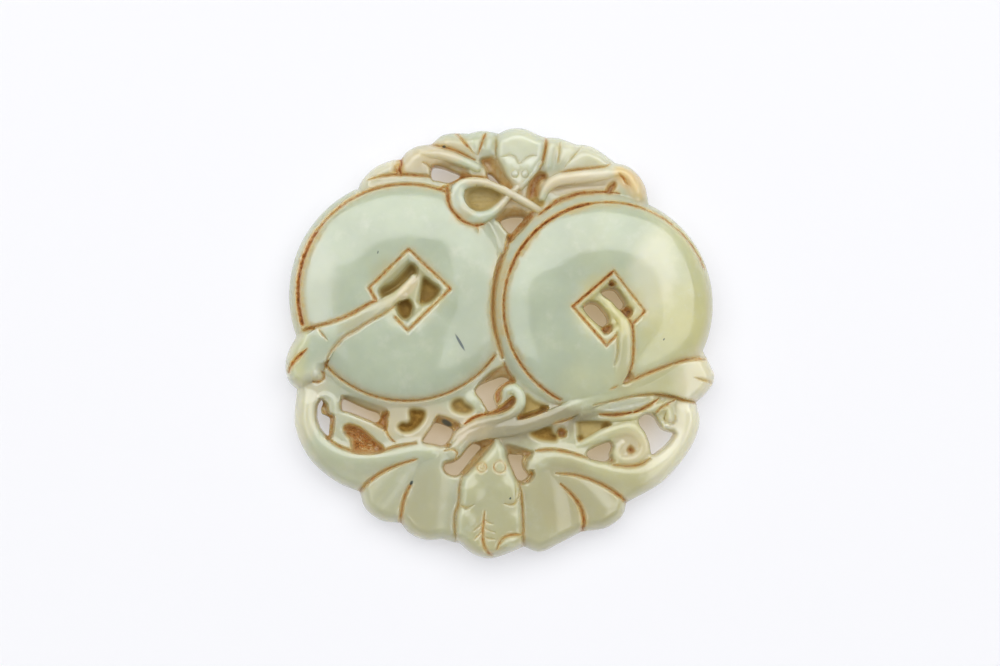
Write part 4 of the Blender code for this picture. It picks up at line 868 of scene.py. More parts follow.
class Relief:
    """The carved front over a set of points, and how much brown dirt lies on it."""

    def __init__(self, points):
        self.points = points
        self.height = np.full(len(points), GROUND)
        self.stain = np.zeros(len(points))
        self.silt = np.zeros(len(points))

    def lay(self, new, mask, stain=0.0):
        """Puts a new surface over the old one where the mask is 1."""
        self.height += (new - self.height) * mask
        self.stain += (stain - self.stain) * mask

    def coins(self):
        left, left_depth = coin_face(self.points, LEFT_COIN)
        right, right_depth = coin_face(self.points, RIGHT_COIN, RIM_SWELLS)
        left -= TUCK_DEPTH * ease(1 + right_depth / TUCK_REACH)
        right += TUCK_DEPTH * ease(left_depth / TUCK_REACH) * ease(1 - right_depth / TUCK_REACH)
        self.lay(left, ease(0.5 + left_depth / SOFT_STEP))
        self.lay(right, ease(0.5 + right_depth / SOFT_STEP))

    def mounds(self):
        for top, reach, edge, ring in MOUNDS.values():
            depth = Shape(smooth(ring, CURVE_STEP, closed=True)).depth(self.points, reach)
            self.lay(edge + (top - edge) * quarter_round(depth / reach), ease(0.5 + depth / SOFT_STEP))

    def ridges(self):
        for crest, width, path in RIDGES.values():
            gaps, _ = Trail(smooth(path, CURVE_STEP)).near(self.points, width)
            self.height = np.maximum(self.height, GROUND + (crest - GROUND) * ease(1 - gaps / width))

    def swells(self):
        for x, y, radius, rise in SWELLS:
            reach = np.linalg.norm(self.points - (x, y), axis=1)
            self.height += rise * ease(1 - reach / (SWELL_SPREAD * radius))

    def pits(self):
        for name, (floor, slope, stain, _) in PITS.items():
            depth = Shape(pit_ring(name)).depth(self.points, DEPTH_REACH)
            floors = floor + FLOOR_RISE * ease(1 - depth / FLOOR_RISE_REACH)
            self.lay(np.minimum(self.height, floors), ease(0.5 + depth / slope), stain)
            self.silt = np.maximum(self.silt, SILT.get(name, 0.0) * ease(SILT_CREEP + depth / slope))

    def slopes(self):
        for high, low, step, stain, ring in SLOPES.values():
            depth = Shape(smooth(ring, CURVE_STEP, closed=True)).depth(self.points, DEPTH_REACH)
            fall = np.array(low[:2]) - high[:2]
            along = (self.points - high[:2]) @ fall / (fall @ fall)
            plane = high[2] + (low[2] - high[2]) * np.clip(along, *SLOPE_OVERRUN)
            self.lay(np.minimum(self.height, plane), ease(0.5 + depth / step), stain)

    def ridged_pits(self):
        for name, angle, spacing, depth in RIPPLES:
            mask = ease(Shape(pit_ring(name)).depth(self.points, DEPTH_REACH) / RIPPLE_FADE)
            across = self.points @ (math.cos(math.radians(angle)), math.sin(math.radians(angle)))
            wander = ripple(self.points, WANDER_SIZE, WANDER_SEED) * RIPPLE_WANDER
            self.height += depth * mask * np.sin(2 * math.pi * (across / spacing + wander))

    def strands(self):
        for path in STRANDS.values():
            gaps, at = Trail(smooth(path, CURVE_STEP)).near(self.points, STRAND_REACH)
            sag = STRAND_SAG * np.clip(STRAND_FULL_SAG / at[:, 2], 0, 1)
            crest = at[:, 3] - sag * np.clip(gaps / at[:, 2], 0, 1) ** STRAND_ROUNDNESS
            mask = ease(0.5 + (at[:, 2] - gaps) / SOFT_STEP)
            self.lay(np.maximum(self.height, crest), mask)
            self.silt *= 1 - mask

    def eyes(self):
        for x, y, radius, rise, _ in EYES:
            if rise:
                reach = np.linalg.norm(self.points - (x, y), axis=1)
                self.height += rise * quarter_round(1 - reach / radius)

    def polish(self):
        """Hand polishing leaves faint swells."""
        self.height += sum(rise * ripple(self.points, size, seed) for rise, size, seed in POLISH)

    def carve(self):
        self.coins()
        self.mounds()
        self.ridges()
        self.swells()
        self.slopes()
        self.pits()
        self.ridged_pits()
        self.strands()
        self.eyes()
        self.polish()
        return self.height, self.stain, self.silt


class Plan:
    """The points of a plan, none crowding another."""

    def __init__(self, rings):
        self.rings = rings
        self.low = rings[0].min(axis=0) - PLAN_MARGIN
        size = rings[0].max(axis=0) + PLAN_MARGIN - self.low
        self.taken = np.zeros(np.ceil(size / CELL).astype(int), bool)
        self.points = np.empty((0, 2))
        self.keep(np.concatenate(rings))

    def cells(self, points):
        return np.floor((points - self.low) / CELL).astype(int).T

    def keep(self, points):
        self.taken[tuple(self.cells(points))] = True
        self.points = np.concatenate([self.points, points])

    def add(self, points, clearance):
        """Adds the points that lie on the material and at least the clearance from those already there."""
        points = points[inside(points, self.rings[0])]
        for ring in self.rings[1:]:
            points = points[~inside(points, ring)]
        across, up = self.cells(points)
        reach = int(clearance / CELL)
        crowded = np.zeros(len(points), bool)
        for x in range(-reach, reach + 1):
            for y in range(-reach, reach + 1):
                if x * x + y * y <= reach * reach:
                    crowded |= self.taken[across + x, up + y]
        self.keep(points[~crowded])

    def triangles(self):
        """The plan's points, where two that coincide are one, and its triangles, anticlockwise."""
        edges, first = [], 0
        for ring in self.rings:
            numbers = first + np.arange(len(ring))
            edges += np.column_stack([numbers, np.roll(numbers, -1)]).tolist()
            first += len(ring)
        found = delaunay_2d_cdt([Vector(p) for p in self.points.tolist()], edges, [], 0, SAME_PLACE)
        points, faces = np.array(found[0]), np.array(found[2])
        kept = np.ones(len(faces), bool)
        doubtful = (faces < first).all(axis=1)
        middles = points[faces[doubtful]].mean(axis=1)
        on_stone = inside(middles, self.rings[0])
        for ring in self.rings[1:]:
            on_stone &= ~inside(middles, ring)
        kept[doubtful] = on_stone
        return points, faces[kept]


def beside(path, offset, step, closed=False):
    """Points a step apart beside a path, offset to its left."""
    lengths = np.cumsum([0, *np.linalg.norm(np.diff(path[:, :2], axis=0), axis=1)])
    count = max(2, round(lengths[-1] / step))
    at = np.linspace(0, lengths[-1], count + 1)
    line = np.column_stack([np.interp(at, lengths, path[:, 0]), np.interp(at, lengths, path[:, 1])])
    return (line + offset * normals(line))[: count if closed else None]


def normals(path):
    """Directions square to a path, to its left."""
    along = np.gradient(path[:, :2], axis=0)
    along /= np.maximum(np.linalg.norm(along, axis=1, keepdims=True), 1e-9)
    return np.column_stack([-along[:, 1], along[:, 0]])


def signed_area(ring):
    after = np.roll(ring, -1, axis=0)
    return (ring[:, 0] * after[:, 1] - after[:, 0] * ring[:, 1]).sum() / 2


def edge_rows(plan, outer, inner, step):
    """Rows alongside every edge, at the given distances in from the outline and from the openings."""
    for ring in plan.rings:
        closed = np.concatenate([ring, ring[:1]])
        turn = 1 if signed_area(ring) > 0 else -1
        if ring is not plan.rings[0]:
            turn = -turn
        for distance in outer if ring is plan.rings[0] else inner:
            row = beside(closed, turn * distance, step, closed=True)
            plan.add(row, FILL_CLEARANCE * min(distance, step))


def step_rows(plan, path, width, closed=False):
    """A pair of rows at the top and the foot of a step."""
    rows = [beside(path, side * 0.5 * width, ROW_STEP, closed) for side in (-1, 1)]
    plan.add(np.concatenate(rows), STEP_CLEARANCE * min(width, ROW_STEP))


def grid(low, high, step):
    """Rows of points a step apart, each row shifted by half a step, over a box."""
    rows = np.arange(low[1], high[1], step * math.sqrt(0.75))
    columns = np.arange(low[0], high[0], step)
    return np.array([(x + (i % 2) * step / 2, y) for i, y in enumerate(rows) for x in columns])


def engraved_paths():
    """Every engraved line as depth, how brown, and rows of x, y and half width."""
    for depth, stain, path in LINES.values():
        yield depth, stain, smooth(path, CURVE_STEP)
    for depth, stain, centre, radius, start, end, width in RING_LINES:
        path = arc(centre, radius, start, end, CURVE_STEP)
        yield depth, stain, np.column_stack([path, np.full(len(path), width)])
    for depth, stain, width, corners in SQUARE_LINES:
        for a, b in zip(corners, corners[1:]):
            count = max(2, round(math.dist(a, b) / CURVE_STEP))
            path = np.linspace(a, b, count + 1)
            yield depth, stain, np.column_stack([path, np.full(len(path), width)])
    for x, y, radius, _, stain in EYES:
        path = arc((x, y), radius, 360, 0, CURVE_STEP)
        yield EYE_RING_DEPTH, stain, np.column_stack([path, np.full(len(path), EYE_RING_WIDTH)])


def front_plan(rings):
    """Rows follow the edges and the carving, so that steps and lines stay crisp, and grids fill the rest."""
    plan = Plan(rings)
    edge_rows(plan, OUTLINE_ROWS, OPENING_ROWS, EDGE_STEP)
    for _, _, path in engraved_paths():
        half = path[:, 2:3] * normals(path)
        rows = [beside(path[:, :2] + side * half, 0, ROW_STEP) for side in (-1, -0.5, 0, 0.5, 1)]
        plan.add(np.concatenate(rows), LINE_CLEARANCE)
    for path in STRANDS.values():
        path = smooth(path, CURVE_STEP)
        for side in (-1, 1):
            step_rows(plan, path[:, :2] + side * path[:, 2:3] * normals(path), SOFT_STEP)
    for name, (_, slope, _, _) in PITS.items():
        ring = pit_ring(name)
        step_rows(plan, np.concatenate([ring, ring[:1]]), slope, closed=True)
    rows = []
    for coin in (RIGHT_COIN, LEFT_COIN):
        rim = arc(coin["centre"], coin["radius"], 360, 0, CURVE_STEP)
        rows += [beside(rim, side * 0.5 * SOFT_STEP, ROW_STEP) for side in (-1, 1)]
    plan.add(np.concatenate(rows), RIM_CLEARANCE)
    low, high = rings[0].min(axis=0), rings[0].max(axis=0)
    fine = grid(low, high, CARVED_STEP)
    on_dome = np.zeros(len(fine), bool)
    for coin in (LEFT_COIN, RIGHT_COIN):
        on_dome |= np.linalg.norm(fine - coin["centre"], axis=1) < coin["radius"] - DOME_INSET
    for name in STRANDS_ON_COINS:
        gaps, _ = Trail(smooth(STRANDS[name], CURVE_STEP)).near(fine, STRAND_REACH)
        on_dome &= gaps > STRAND_MARGIN
    for name in SQUARE_PITS:
        on_dome &= Shape(pit_ring(name)).depth(fine, DEPTH_REACH) < -SQUARE_MARGIN
    plan.add(fine[~on_dome], FILL_CLEARANCE * CARVED_STEP)
    plan.add(grid(low, high, COIN_STEP), COIN_CLEARANCE * COIN_STEP)
    return plan


def back_plan(rings):
    plan = Plan(rings)
    edge_rows(plan, BACK_OUTLINE_ROWS, BACK_OPENING_ROWS, 2 * EDGE_STEP)
    plan.add(grid(rings[0].min(axis=0), rings[0].max(axis=0), BACK_STEP), FILL_CLEARANCE * BACK_STEP)
    return plan


def edge_gaps(points, rings):
    """Distance to the outline and to every opening, as far as their rounding reaches."""
    outer, *inner = (Trail(ring, closed=True).near(points, OUTLINE_ROUND)[0] for ring in rings)
    return outer, inner


def edge_dirt():
    """How brown each opening's edge is."""
    return [CLEAN_EDGES.get(name, EDGE_STAIN) for name in OPENINGS]


def front_surface(points, rings):
    outer, inner = edge_gaps(points, rings)
    height, stain, silt = Relief(points).carve()
    height = OUTLINE_EDGE + (height - OUTLINE_EDGE) * quarter_round(outer / OUTLINE_ROUND)
    height = OPENING_EDGE + (height - OPENING_EDGE) * quarter_round(np.min(inner, axis=0) / OPENING_ROUND)
    for gap, dirt in zip(inner, edge_dirt()):
        stain = np.maximum(stain, dirt * ease(1 - gap / EDGE_STAIN_REACH))
    return height, stain, silt, ease(outer / OUTLINE_ROUND)


def back_surface(points, rings):
    outer, inner = edge_gaps(points, rings)
    gaps = np.minimum(outer, np.min(inner, axis=0))
    rise, size, seed = BACK_POLISH
    return BACK_EDGE * (1 - quarter_round(gaps / BACK_ROUND)) + rise * ripple(points, size, seed)


def body_mesh():
    """The stone before its lines are cut, with attributes for the carved side and for dirt."""
    rings = [outline(EDGE_STEP)] + [smooth(ring, EDGE_STEP, closed=True) for ring in OPENINGS.values()]
    low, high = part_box(CAD_NODE)
    shift = (np.array(low[:2]) + high[:2]) / 2 / MM - (rings[0].min(axis=0) + rings[0].max(axis=0)) / 2
    top, top_faces = front_plan(rings).triangles()
    bottom, bottom_faces = back_plan(rings).triangles()
    top_height, stain, silt, inward = front_surface(top, rings)
    bottom_height = back_surface(bottom, rings)
    corners = [np.column_stack([top, top_height]), np.column_stack([bottom, bottom_height])]
    stains = [stain, np.zeros(len(bottom))]
    below, count = len(top), len(top) + len(bottom)
    faces = top_faces.tolist() + (below + bottom_faces[:, ::-1]).tolist()
    first = 0
    for ring, dirt in zip(rings, [0.0, *edge_dirt()]):
        numbers = first + np.arange(len(ring))
        levels = [numbers]
        for row in range(WALL_ROWS):
            share = (row + 1) / (WALL_ROWS + 1)
            level = top_height[numbers] * (1 - share) + bottom_height[numbers] * share
            closed = np.concatenate([ring[-1:], ring, ring[:1]])
            swell = WALL_BULGE * ripple(ring + row * WALL_SHIFT, WALL_SWELL, 3.0)[:, None]
            bulge = swell * normals(closed)[1:-1]
            corners.append(np.column_stack([ring + bulge * (first > 0), level]))
            stains.append(np.full(len(ring), WALL_STAIN * dirt))
            levels.append(count + np.arange(len(ring)))
            count += len(ring)
        levels.append(below + numbers)
        for upper, lower in zip(levels, levels[1:]):
            next_upper, next_lower = np.roll(upper, -1), np.roll(lower, -1)
            if (signed_area(ring) > 0) != (first == 0):
                wall = [next_upper, next_lower, lower, upper]
            else:
                wall = [upper, lower, next_lower, next_upper]
            faces += np.column_stack(wall).tolist()
        first += len(ring)
    corners = np.concatenate(corners)
    corners[:, :2] += shift
    mesh = bpy.data.meshes.new("jade_carving_front")
    mesh.from_pydata((corners * MM).tolist(), [], faces)
    mesh.update()
    front = {"carved": np.ones(below), "sheltered": inward, "silt": silt}
    rest = np.zeros(len(corners) - below)
    painted = {name: np.concatenate([values, rest]) for name, values in front.items()}
    painted["stain"] = np.concatenate(stains)
    for name, values in painted.items():
        mesh.attributes.new(name, "FLOAT", "POINT").data.foreach_set("value", values.astype(np.float32))
    return mesh, shift


def line_mesh(shift):
    """The engraved lines as edges on the ground, with their widths, depths and dirt."""
    corners, edges, widths, depths, stains = [], [], [], [], []
    for depth, stain, path in engraved_paths():
        first = len(corners)
        corners += np.column_stack([(path[:, :2] + shift) * MM, np.zeros(len(path))]).tolist()
        edges += [(first + i, first + i + 1) for i in range(len(path) - 1)]
        widths += (path[:, 2] * MM).tolist()
        share = np.clip(path[:, 2] / FULL_WIDTH, LEAST_SHARE, MOST_SHARE)
        depths += (depth * MM * share).tolist()
        stains += [stain] * len(path)
    mesh = bpy.data.meshes.new("engraved_lines")
    mesh.from_pydata(corners, edges, [])
    for name, values in (("width", widths), ("depth", depths), ("dirt", stains)):
        mesh.attributes.new(name, "FLOAT", "POINT").data.foreach_set("value", values)
    return mesh


class Tree:
    """A node tree being built, where sockets take part in arithmetic."""

    def __init__(self, tree):
        self.tree = tree

    def node(self, kind, settings=None, inputs=None, output=0):
        """Adds a node. Its settings come first, then its sockets, by name or number, as values or links."""
        node = self.tree.nodes.new(kind)
        for key, value in (settings or {}).items():
            setattr(node, key, value)
        for key, value in (inputs or {}).items():
            if isinstance(value, Socket):
                self.tree.links.new(value.socket, node.inputs[key])
            else:
                node.inputs[key].default_value = value
        return Socket(self, node.outputs[output]) if node.outputs else node


class Socket:
    """One output of a node."""

    def __init__(self, tree, socket):
        self.tree, self.socket = tree, socket

    def other(self, output):
        """Another output of the same node."""
        return Socket(self.tree, self.socket.node.outputs[output])

    def math(self, operation, *others, first=None):
        values = [self if first is None else first, *others]
        return self.tree.node("ShaderNodeMath", {"operation": operation}, dict(enumerate(values)))

    def __add__(self, other):
        return self.math("ADD", other)

    def __radd__(self, other):
        return self.math("ADD", other)

    def __sub__(self, other):
        return self.math("SUBTRACT", other)

    def __rsub__(self, other):
        return self.math("SUBTRACT", self, first=other)

    def __mul__(self, other):
        return self.math("MULTIPLY", other)

    def __rmul__(self, other):
        return self.math("MULTIPLY", other)

    def maximum(self, other):
        return self.math("MAXIMUM", other)

    def minimum(self, other):
        return self.math("MINIMUM", other)

    def ease(self, start, end):
        """0 at the start and 1 at the end, smooth between. The start may be the larger."""
        sockets = {"Value": self, "From Min": start, "From Max": end}
        return self.tree.node("ShaderNodeMapRange", {"interpolation_type": "SMOOTHSTEP"}, sockets)


def geometry_tree(name, inputs):
    """A Geometry Nodes tree with a geometry input and output and the named inputs between."""
    group = bpy.data.node_groups.new(name, "GeometryNodeTree")
    group.interface.new_socket("Geometry", in_out="INPUT", socket_type="NodeSocketGeometry")
    for label, kind in inputs.items():
        group.interface.new_socket(label, in_out="INPUT", socket_type="NodeSocket" + kind)
    group.interface.new_socket("Geometry", in_out="OUTPUT", socket_type="NodeSocketGeometry")
    return Tree(group)


def attribute(tree, name):
    return tree.node("GeometryNodeInputNamedAttribute", {"data_type": "FLOAT"}, {"Name": name})


def stored(tree, geometry, name, value):
    return tree.node("GeometryNodeStoreNamedAttribute", {"data_type": "FLOAT", "domain": "POINT"},
                     {"Geometry": geometry, "Name": name, "Value": value})


def finish_tree(tree, geometry, material):
    geometry = tree.node("GeometryNodeRealizeInstances", None, {"Geometry": geometry})
    geometry = tree.node("GeometryNodeSetMaterial", None, {"Geometry": geometry, "Material": material})
    tree.node("NodeGroupOutput", None, {"Geometry": geometry})
    return tree.tree


def engraving():
    """Sinks the carved side along lines, which a wavering tool cut, and leaves dirt in them."""
    tree = geometry_tree("engraving", {
        "Lines": "Object", "Chatter": "Float", "Chatter Scale": "Float", "Seed": "Float",
        "Material": "Material",
    })
    entry = tree.node("NodeGroupInput")
    place = tree.node("GeometryNodeInputPosition")
    axes = tree.node("ShaderNodeSeparateXYZ", None, {"Vector": place})
    flat = tree.node("ShaderNodeCombineXYZ", None, {"X": axes, "Y": axes.other("Y")})
    lines = tree.node("GeometryNodeObjectInfo", None, {"Object": entry.other("Lines")}, output="Geometry")
    sources = {"Geometry": lines, "Sample Position": flat}
    gap = tree.node("GeometryNodeProximity", {"target_element": "EDGES"}, sources, output="Distance")
    nearest = tree.node("GeometryNodeSampleNearest", {"domain": "POINT"}, sources)

    def sampled(name):
        return tree.node("GeometryNodeSampleIndex", {"data_type": "FLOAT", "domain": "POINT"},
                         {"Geometry": lines, "Value": attribute(tree, name), "Index": nearest})

    chatter = tree.node("ShaderNodeTexNoise", {"noise_dimensions": "4D"}, {
        "Vector": place, "W": entry.other("Seed"), "Scale": entry.other("Chatter Scale"), "Detail": 1.0,
    })
    waver = (chatter - 0.5) * entry.other("Chatter")
    width = sampled("width") * (waver * 0.5 + 1)
    cut = gap.ease(width, 0.0)
    depth = sampled("depth") * cut * (waver + 1)
    offset = tree.node("ShaderNodeCombineXYZ", None, {"Z": depth * -1})
    carved = tree.node("FunctionNodeCompare", {"data_type": "FLOAT", "operation": "GREATER_THAN"},
                       {0: attribute(tree, "carved"), 1: 0.5})
    sunk = tree.node("GeometryNodeSetPosition", None,
                     {"Geometry": entry.other("Geometry"), "Selection": carved, "Offset": offset})
    packed = gap.ease(width * 1.1, width * 0.3) * (waver * 0.6 + 1)
    dirt = sampled("dirt") * packed * attribute(tree, "carved")
    dirty = stored(tree, sunk, "stain", attribute(tree, "stain").maximum(dirt).minimum(1.0))
    return finish_tree(tree, dirty, entry.other("Material"))


def settling():
    """Finds the hollows that the surface holds and how dirt spreads from where it lies."""
    tree = geometry_tree("settling", {"Hollow Rounds": "Int", "Halo Rounds": "Int", "Material": "Material"})
    entry = tree.node("NodeGroupInput")
    axes = tree.node("ShaderNodeSeparateXYZ", None, {"Vector": tree.node("GeometryNodeInputPosition")})
    height = axes.other("Z")
    level = tree.node("GeometryNodeBlurAttribute", {"data_type": "FLOAT"},
                      {"Value": height, "Iterations": entry.other("Hollow Rounds")})
    halo = tree.node("GeometryNodeBlurAttribute", {"data_type": "FLOAT"},
                     {"Value": attribute(tree, "stain"), "Iterations": entry.other("Halo Rounds")})
    hollow = (level - height) * (1 / MM) * attribute(tree, "sheltered")
    geometry = stored(tree, entry.other("Geometry"), "hollow", hollow)
    geometry = stored(tree, geometry, "halo", halo)
    return finish_tree(tree, geometry, entry.other("Material"))


def apply_tree(piece, tree, values):
    """Runs a tree over a piece, with its inputs set by their identifiers."""
    modifier = piece.modifiers.new(tree.name, "NODES")
    modifier.node_group = tree
    for item in tree.interface.items_tree:
        if item.in_out == "INPUT" and item.name in values:
            modifier[item.identifier] = values[item.name]


def plain_copy(piece, name):
    """The evaluated piece as a plain mesh."""
    bpy.context.view_layer.update()
    graph = bpy.context.evaluated_depsgraph_get()
    mesh = bpy.data.meshes.new_from_object(piece.evaluated_get(graph))
    mesh.name = name
    return mesh


# Colours as red, green and blue, linear
BLACK = (0.0, 0.0, 0.0, 1.0)
CELADON = (0.475, 0.53, 0.40, 1.0)
HONEY = (0.57, 0.55, 0.29, 1.0)
CLOUD = (0.60, 0.63, 0.52, 1.0)
MOSS = (0.42, 0.41, 0.25, 1.0)
BEIGE = (0.66, 0.55, 0.38, 1.0)
APRICOT = (0.70, 0.50, 0.25, 1.0)
AMBER = (0.74, 0.52, 0.20, 1.0)
OCHRE = (0.56, 0.41, 0.17, 1.0)
RUSSET = (0.42, 0.165, 0.03, 1.0)
UMBER = (0.11, 0.036, 0.006, 1.0)
OLIVE = (0.17, 0.085, 0.014, 1.0)
SILT_BROWN = (0.31, 0.185, 0.04, 1.0)
STRAW = (0.45, 0.36, 0.12, 1.0)
SAND = (0.58, 0.54, 0.27, 1.0)
# A faint painted glow for the hollows: painted light, as if come through the stone
HOLLOW_PAINTED_GLOW = (0.07, 0.045, 0.015, 1.0)
INK = (0.05, 0.08, 0.09, 1.0)
CREAM = (0.70, 0.66, 0.50, 1.0)
GLOW = (0.78, 0.76, 0.60, 1.0)
DRAB = (0.50, 0.47, 0.27, 1.0)
JADE = (0.39, 0.44, 0.31, 1.0)
HAZEL = (0.47, 0.39, 0.17, 1.0)
ASH = (0.28, 0.24, 0.145, 1.0)
TAN = (0.50, 0.45, 0.29, 1.0)

SPECKS = (
    # centre, angle, length and width of an ellipse in millimetres
    (-5.3, -0.1, -60, 1.15, 0.17), (-15.9, 11.5, 80, 0.2, 0.08), (-6.95, -10.45, -30, 0.75, 0.35),
    (-11.55, -18.2, 60, 0.3, 0.2), (-7.35, 25.4, 0, 0.22, 0.16), (21.0, 0.3, 60, 0.16, 0.09),
    (1.2, -20.2, 60, 0.16, 0.12),
)
PATCHES = (
    # centre, angle, length and width of an ellipse in millimetres, how strong, colour
    (1.2, 18.7, -25, 5.5, 2.4, 0.7, BEIGE), (-3.0, 21.0, 0, 3.2, 0.9, 0.4, BEIGE),
    (-5.6, 18.4, 90, 3.0, 1.4, 0.5, CLOUD), (-9.5, 24.0, 15, 5.5, 2.2, 0.7, BEIGE),
    (10.0, 20.8, 5, 6.5, 1.8, 0.8, BEIGE), (11.0, 24.0, -20, 5.5, 2.5, 0.5, GLOW),
    (2.5, 24.5, 0, 3.5, 3.5, 0.4, GLOW), (-16.0, 22.0, 25, 4.0, 2.0, 0.6, CREAM),
    (26.0, -5.0, 70, 5.0, 3.5, 0.7, CREAM), (23.5, -13.0, 60, 8.0, 3.5, 0.8, GLOW),
    (-25.5, -9.0, 70, 7.0, 2.5, 0.6, CREAM), (3.0, -10.8, 8, 11.0, 2.6, 0.8, ASH),
    (-10.0, -10.5, -8, 9.0, 3.0, 0.6, BEIGE), (-1.5, -20.5, 90, 8.0, 4.2, 0.6, DRAB),
    (-9.5, -20.5, 70, 5.5, 3.0, 0.6, MOSS), (16.0, -1.5, 90, 5.0, 1.6, 0.6, DRAB),
    (19.0, -5.2, 10, 4.0, 1.5, 0.4, DRAB), (-24.5, 7.5, 90, 8.0, 3.5, 0.5, CLOUD),
    (-3.7, 4.0, 80, 9.0, 3.0, 0.5, JADE), (19.5, 8.5, 80, 6.5, 3.2, 0.45, GLOW),
    (-26.3, 0.5, 90, 6.0, 1.6, 0.5, HONEY), (-4.4, 17.0, 35, 2.6, 1.1, 0.6, TAN),
    (8.0, -19.3, 80, 5.0, 3.4, 0.45, HAZEL), (9.5, -20.0, -30, 9.0, 4.0, 0.75, MOSS),
    (16.3, 21.5, -35, 2.2, 1.2, 0.75, AMBER), (14.3, 20.2, 45, 1.1, 0.7, 0.6, AMBER),
    (15.8, 21.5, -45, 0.8, 0.22, 0.9, RUSSET), (16.6, 20.9, -50, 0.6, 0.2, 0.8, RUSSET),
    (17.4, 20.6, -60, 2.8, 1.5, 0.7, APRICOT), (16.3, -8.2, 10, 3.2, 0.8, 0.6, CLOUD),
    (17.0, -13.4, 0, 2.4, 2.4, 0.5, BEIGE), (-11.9, 6.8, 45, 4.6, 4.6, 0.78, DRAB),
    (13.7, 4.6, 50, 4.6, 4.6, 0.85, SAND), (-17.2, 3.7, 32, 5.0, 1.3, 0.5, TAN),
    (-12.0, 7.0, 50, 2.2, 0.8, 0.6, BEIGE),
)

# Values that are the same all over a surface
STONE = {
    "IOR": 1.61,
    "Subsurface Weight": 0.9,
    "Subsurface Radius": (1.0, 0.9, 0.6),
    "Subsurface Scale": 0.0045,
    "Emission Strength": 1.0,
}
MATTE = {"Roughness": 0.8, "Specular IOR Level": 0.1}
PORE_BUMP = {"Strength": 0.05, "Distance": 0.0002}


def colour_mix(tree, factor, first, second):
    """The first colour where the factor is 0, and the second where it is 1."""
    return tree.node("ShaderNodeMix", {"data_type": "RGBA"}, {0: factor, 6: first, 7: second}, output=2)


def empty_material(name):
    """A new material and its node tree."""
    material = bpy.data.materials.new(name)
    material.use_nodes = True
    material.node_tree.nodes.clear()
    return material, Tree(material.node_tree)


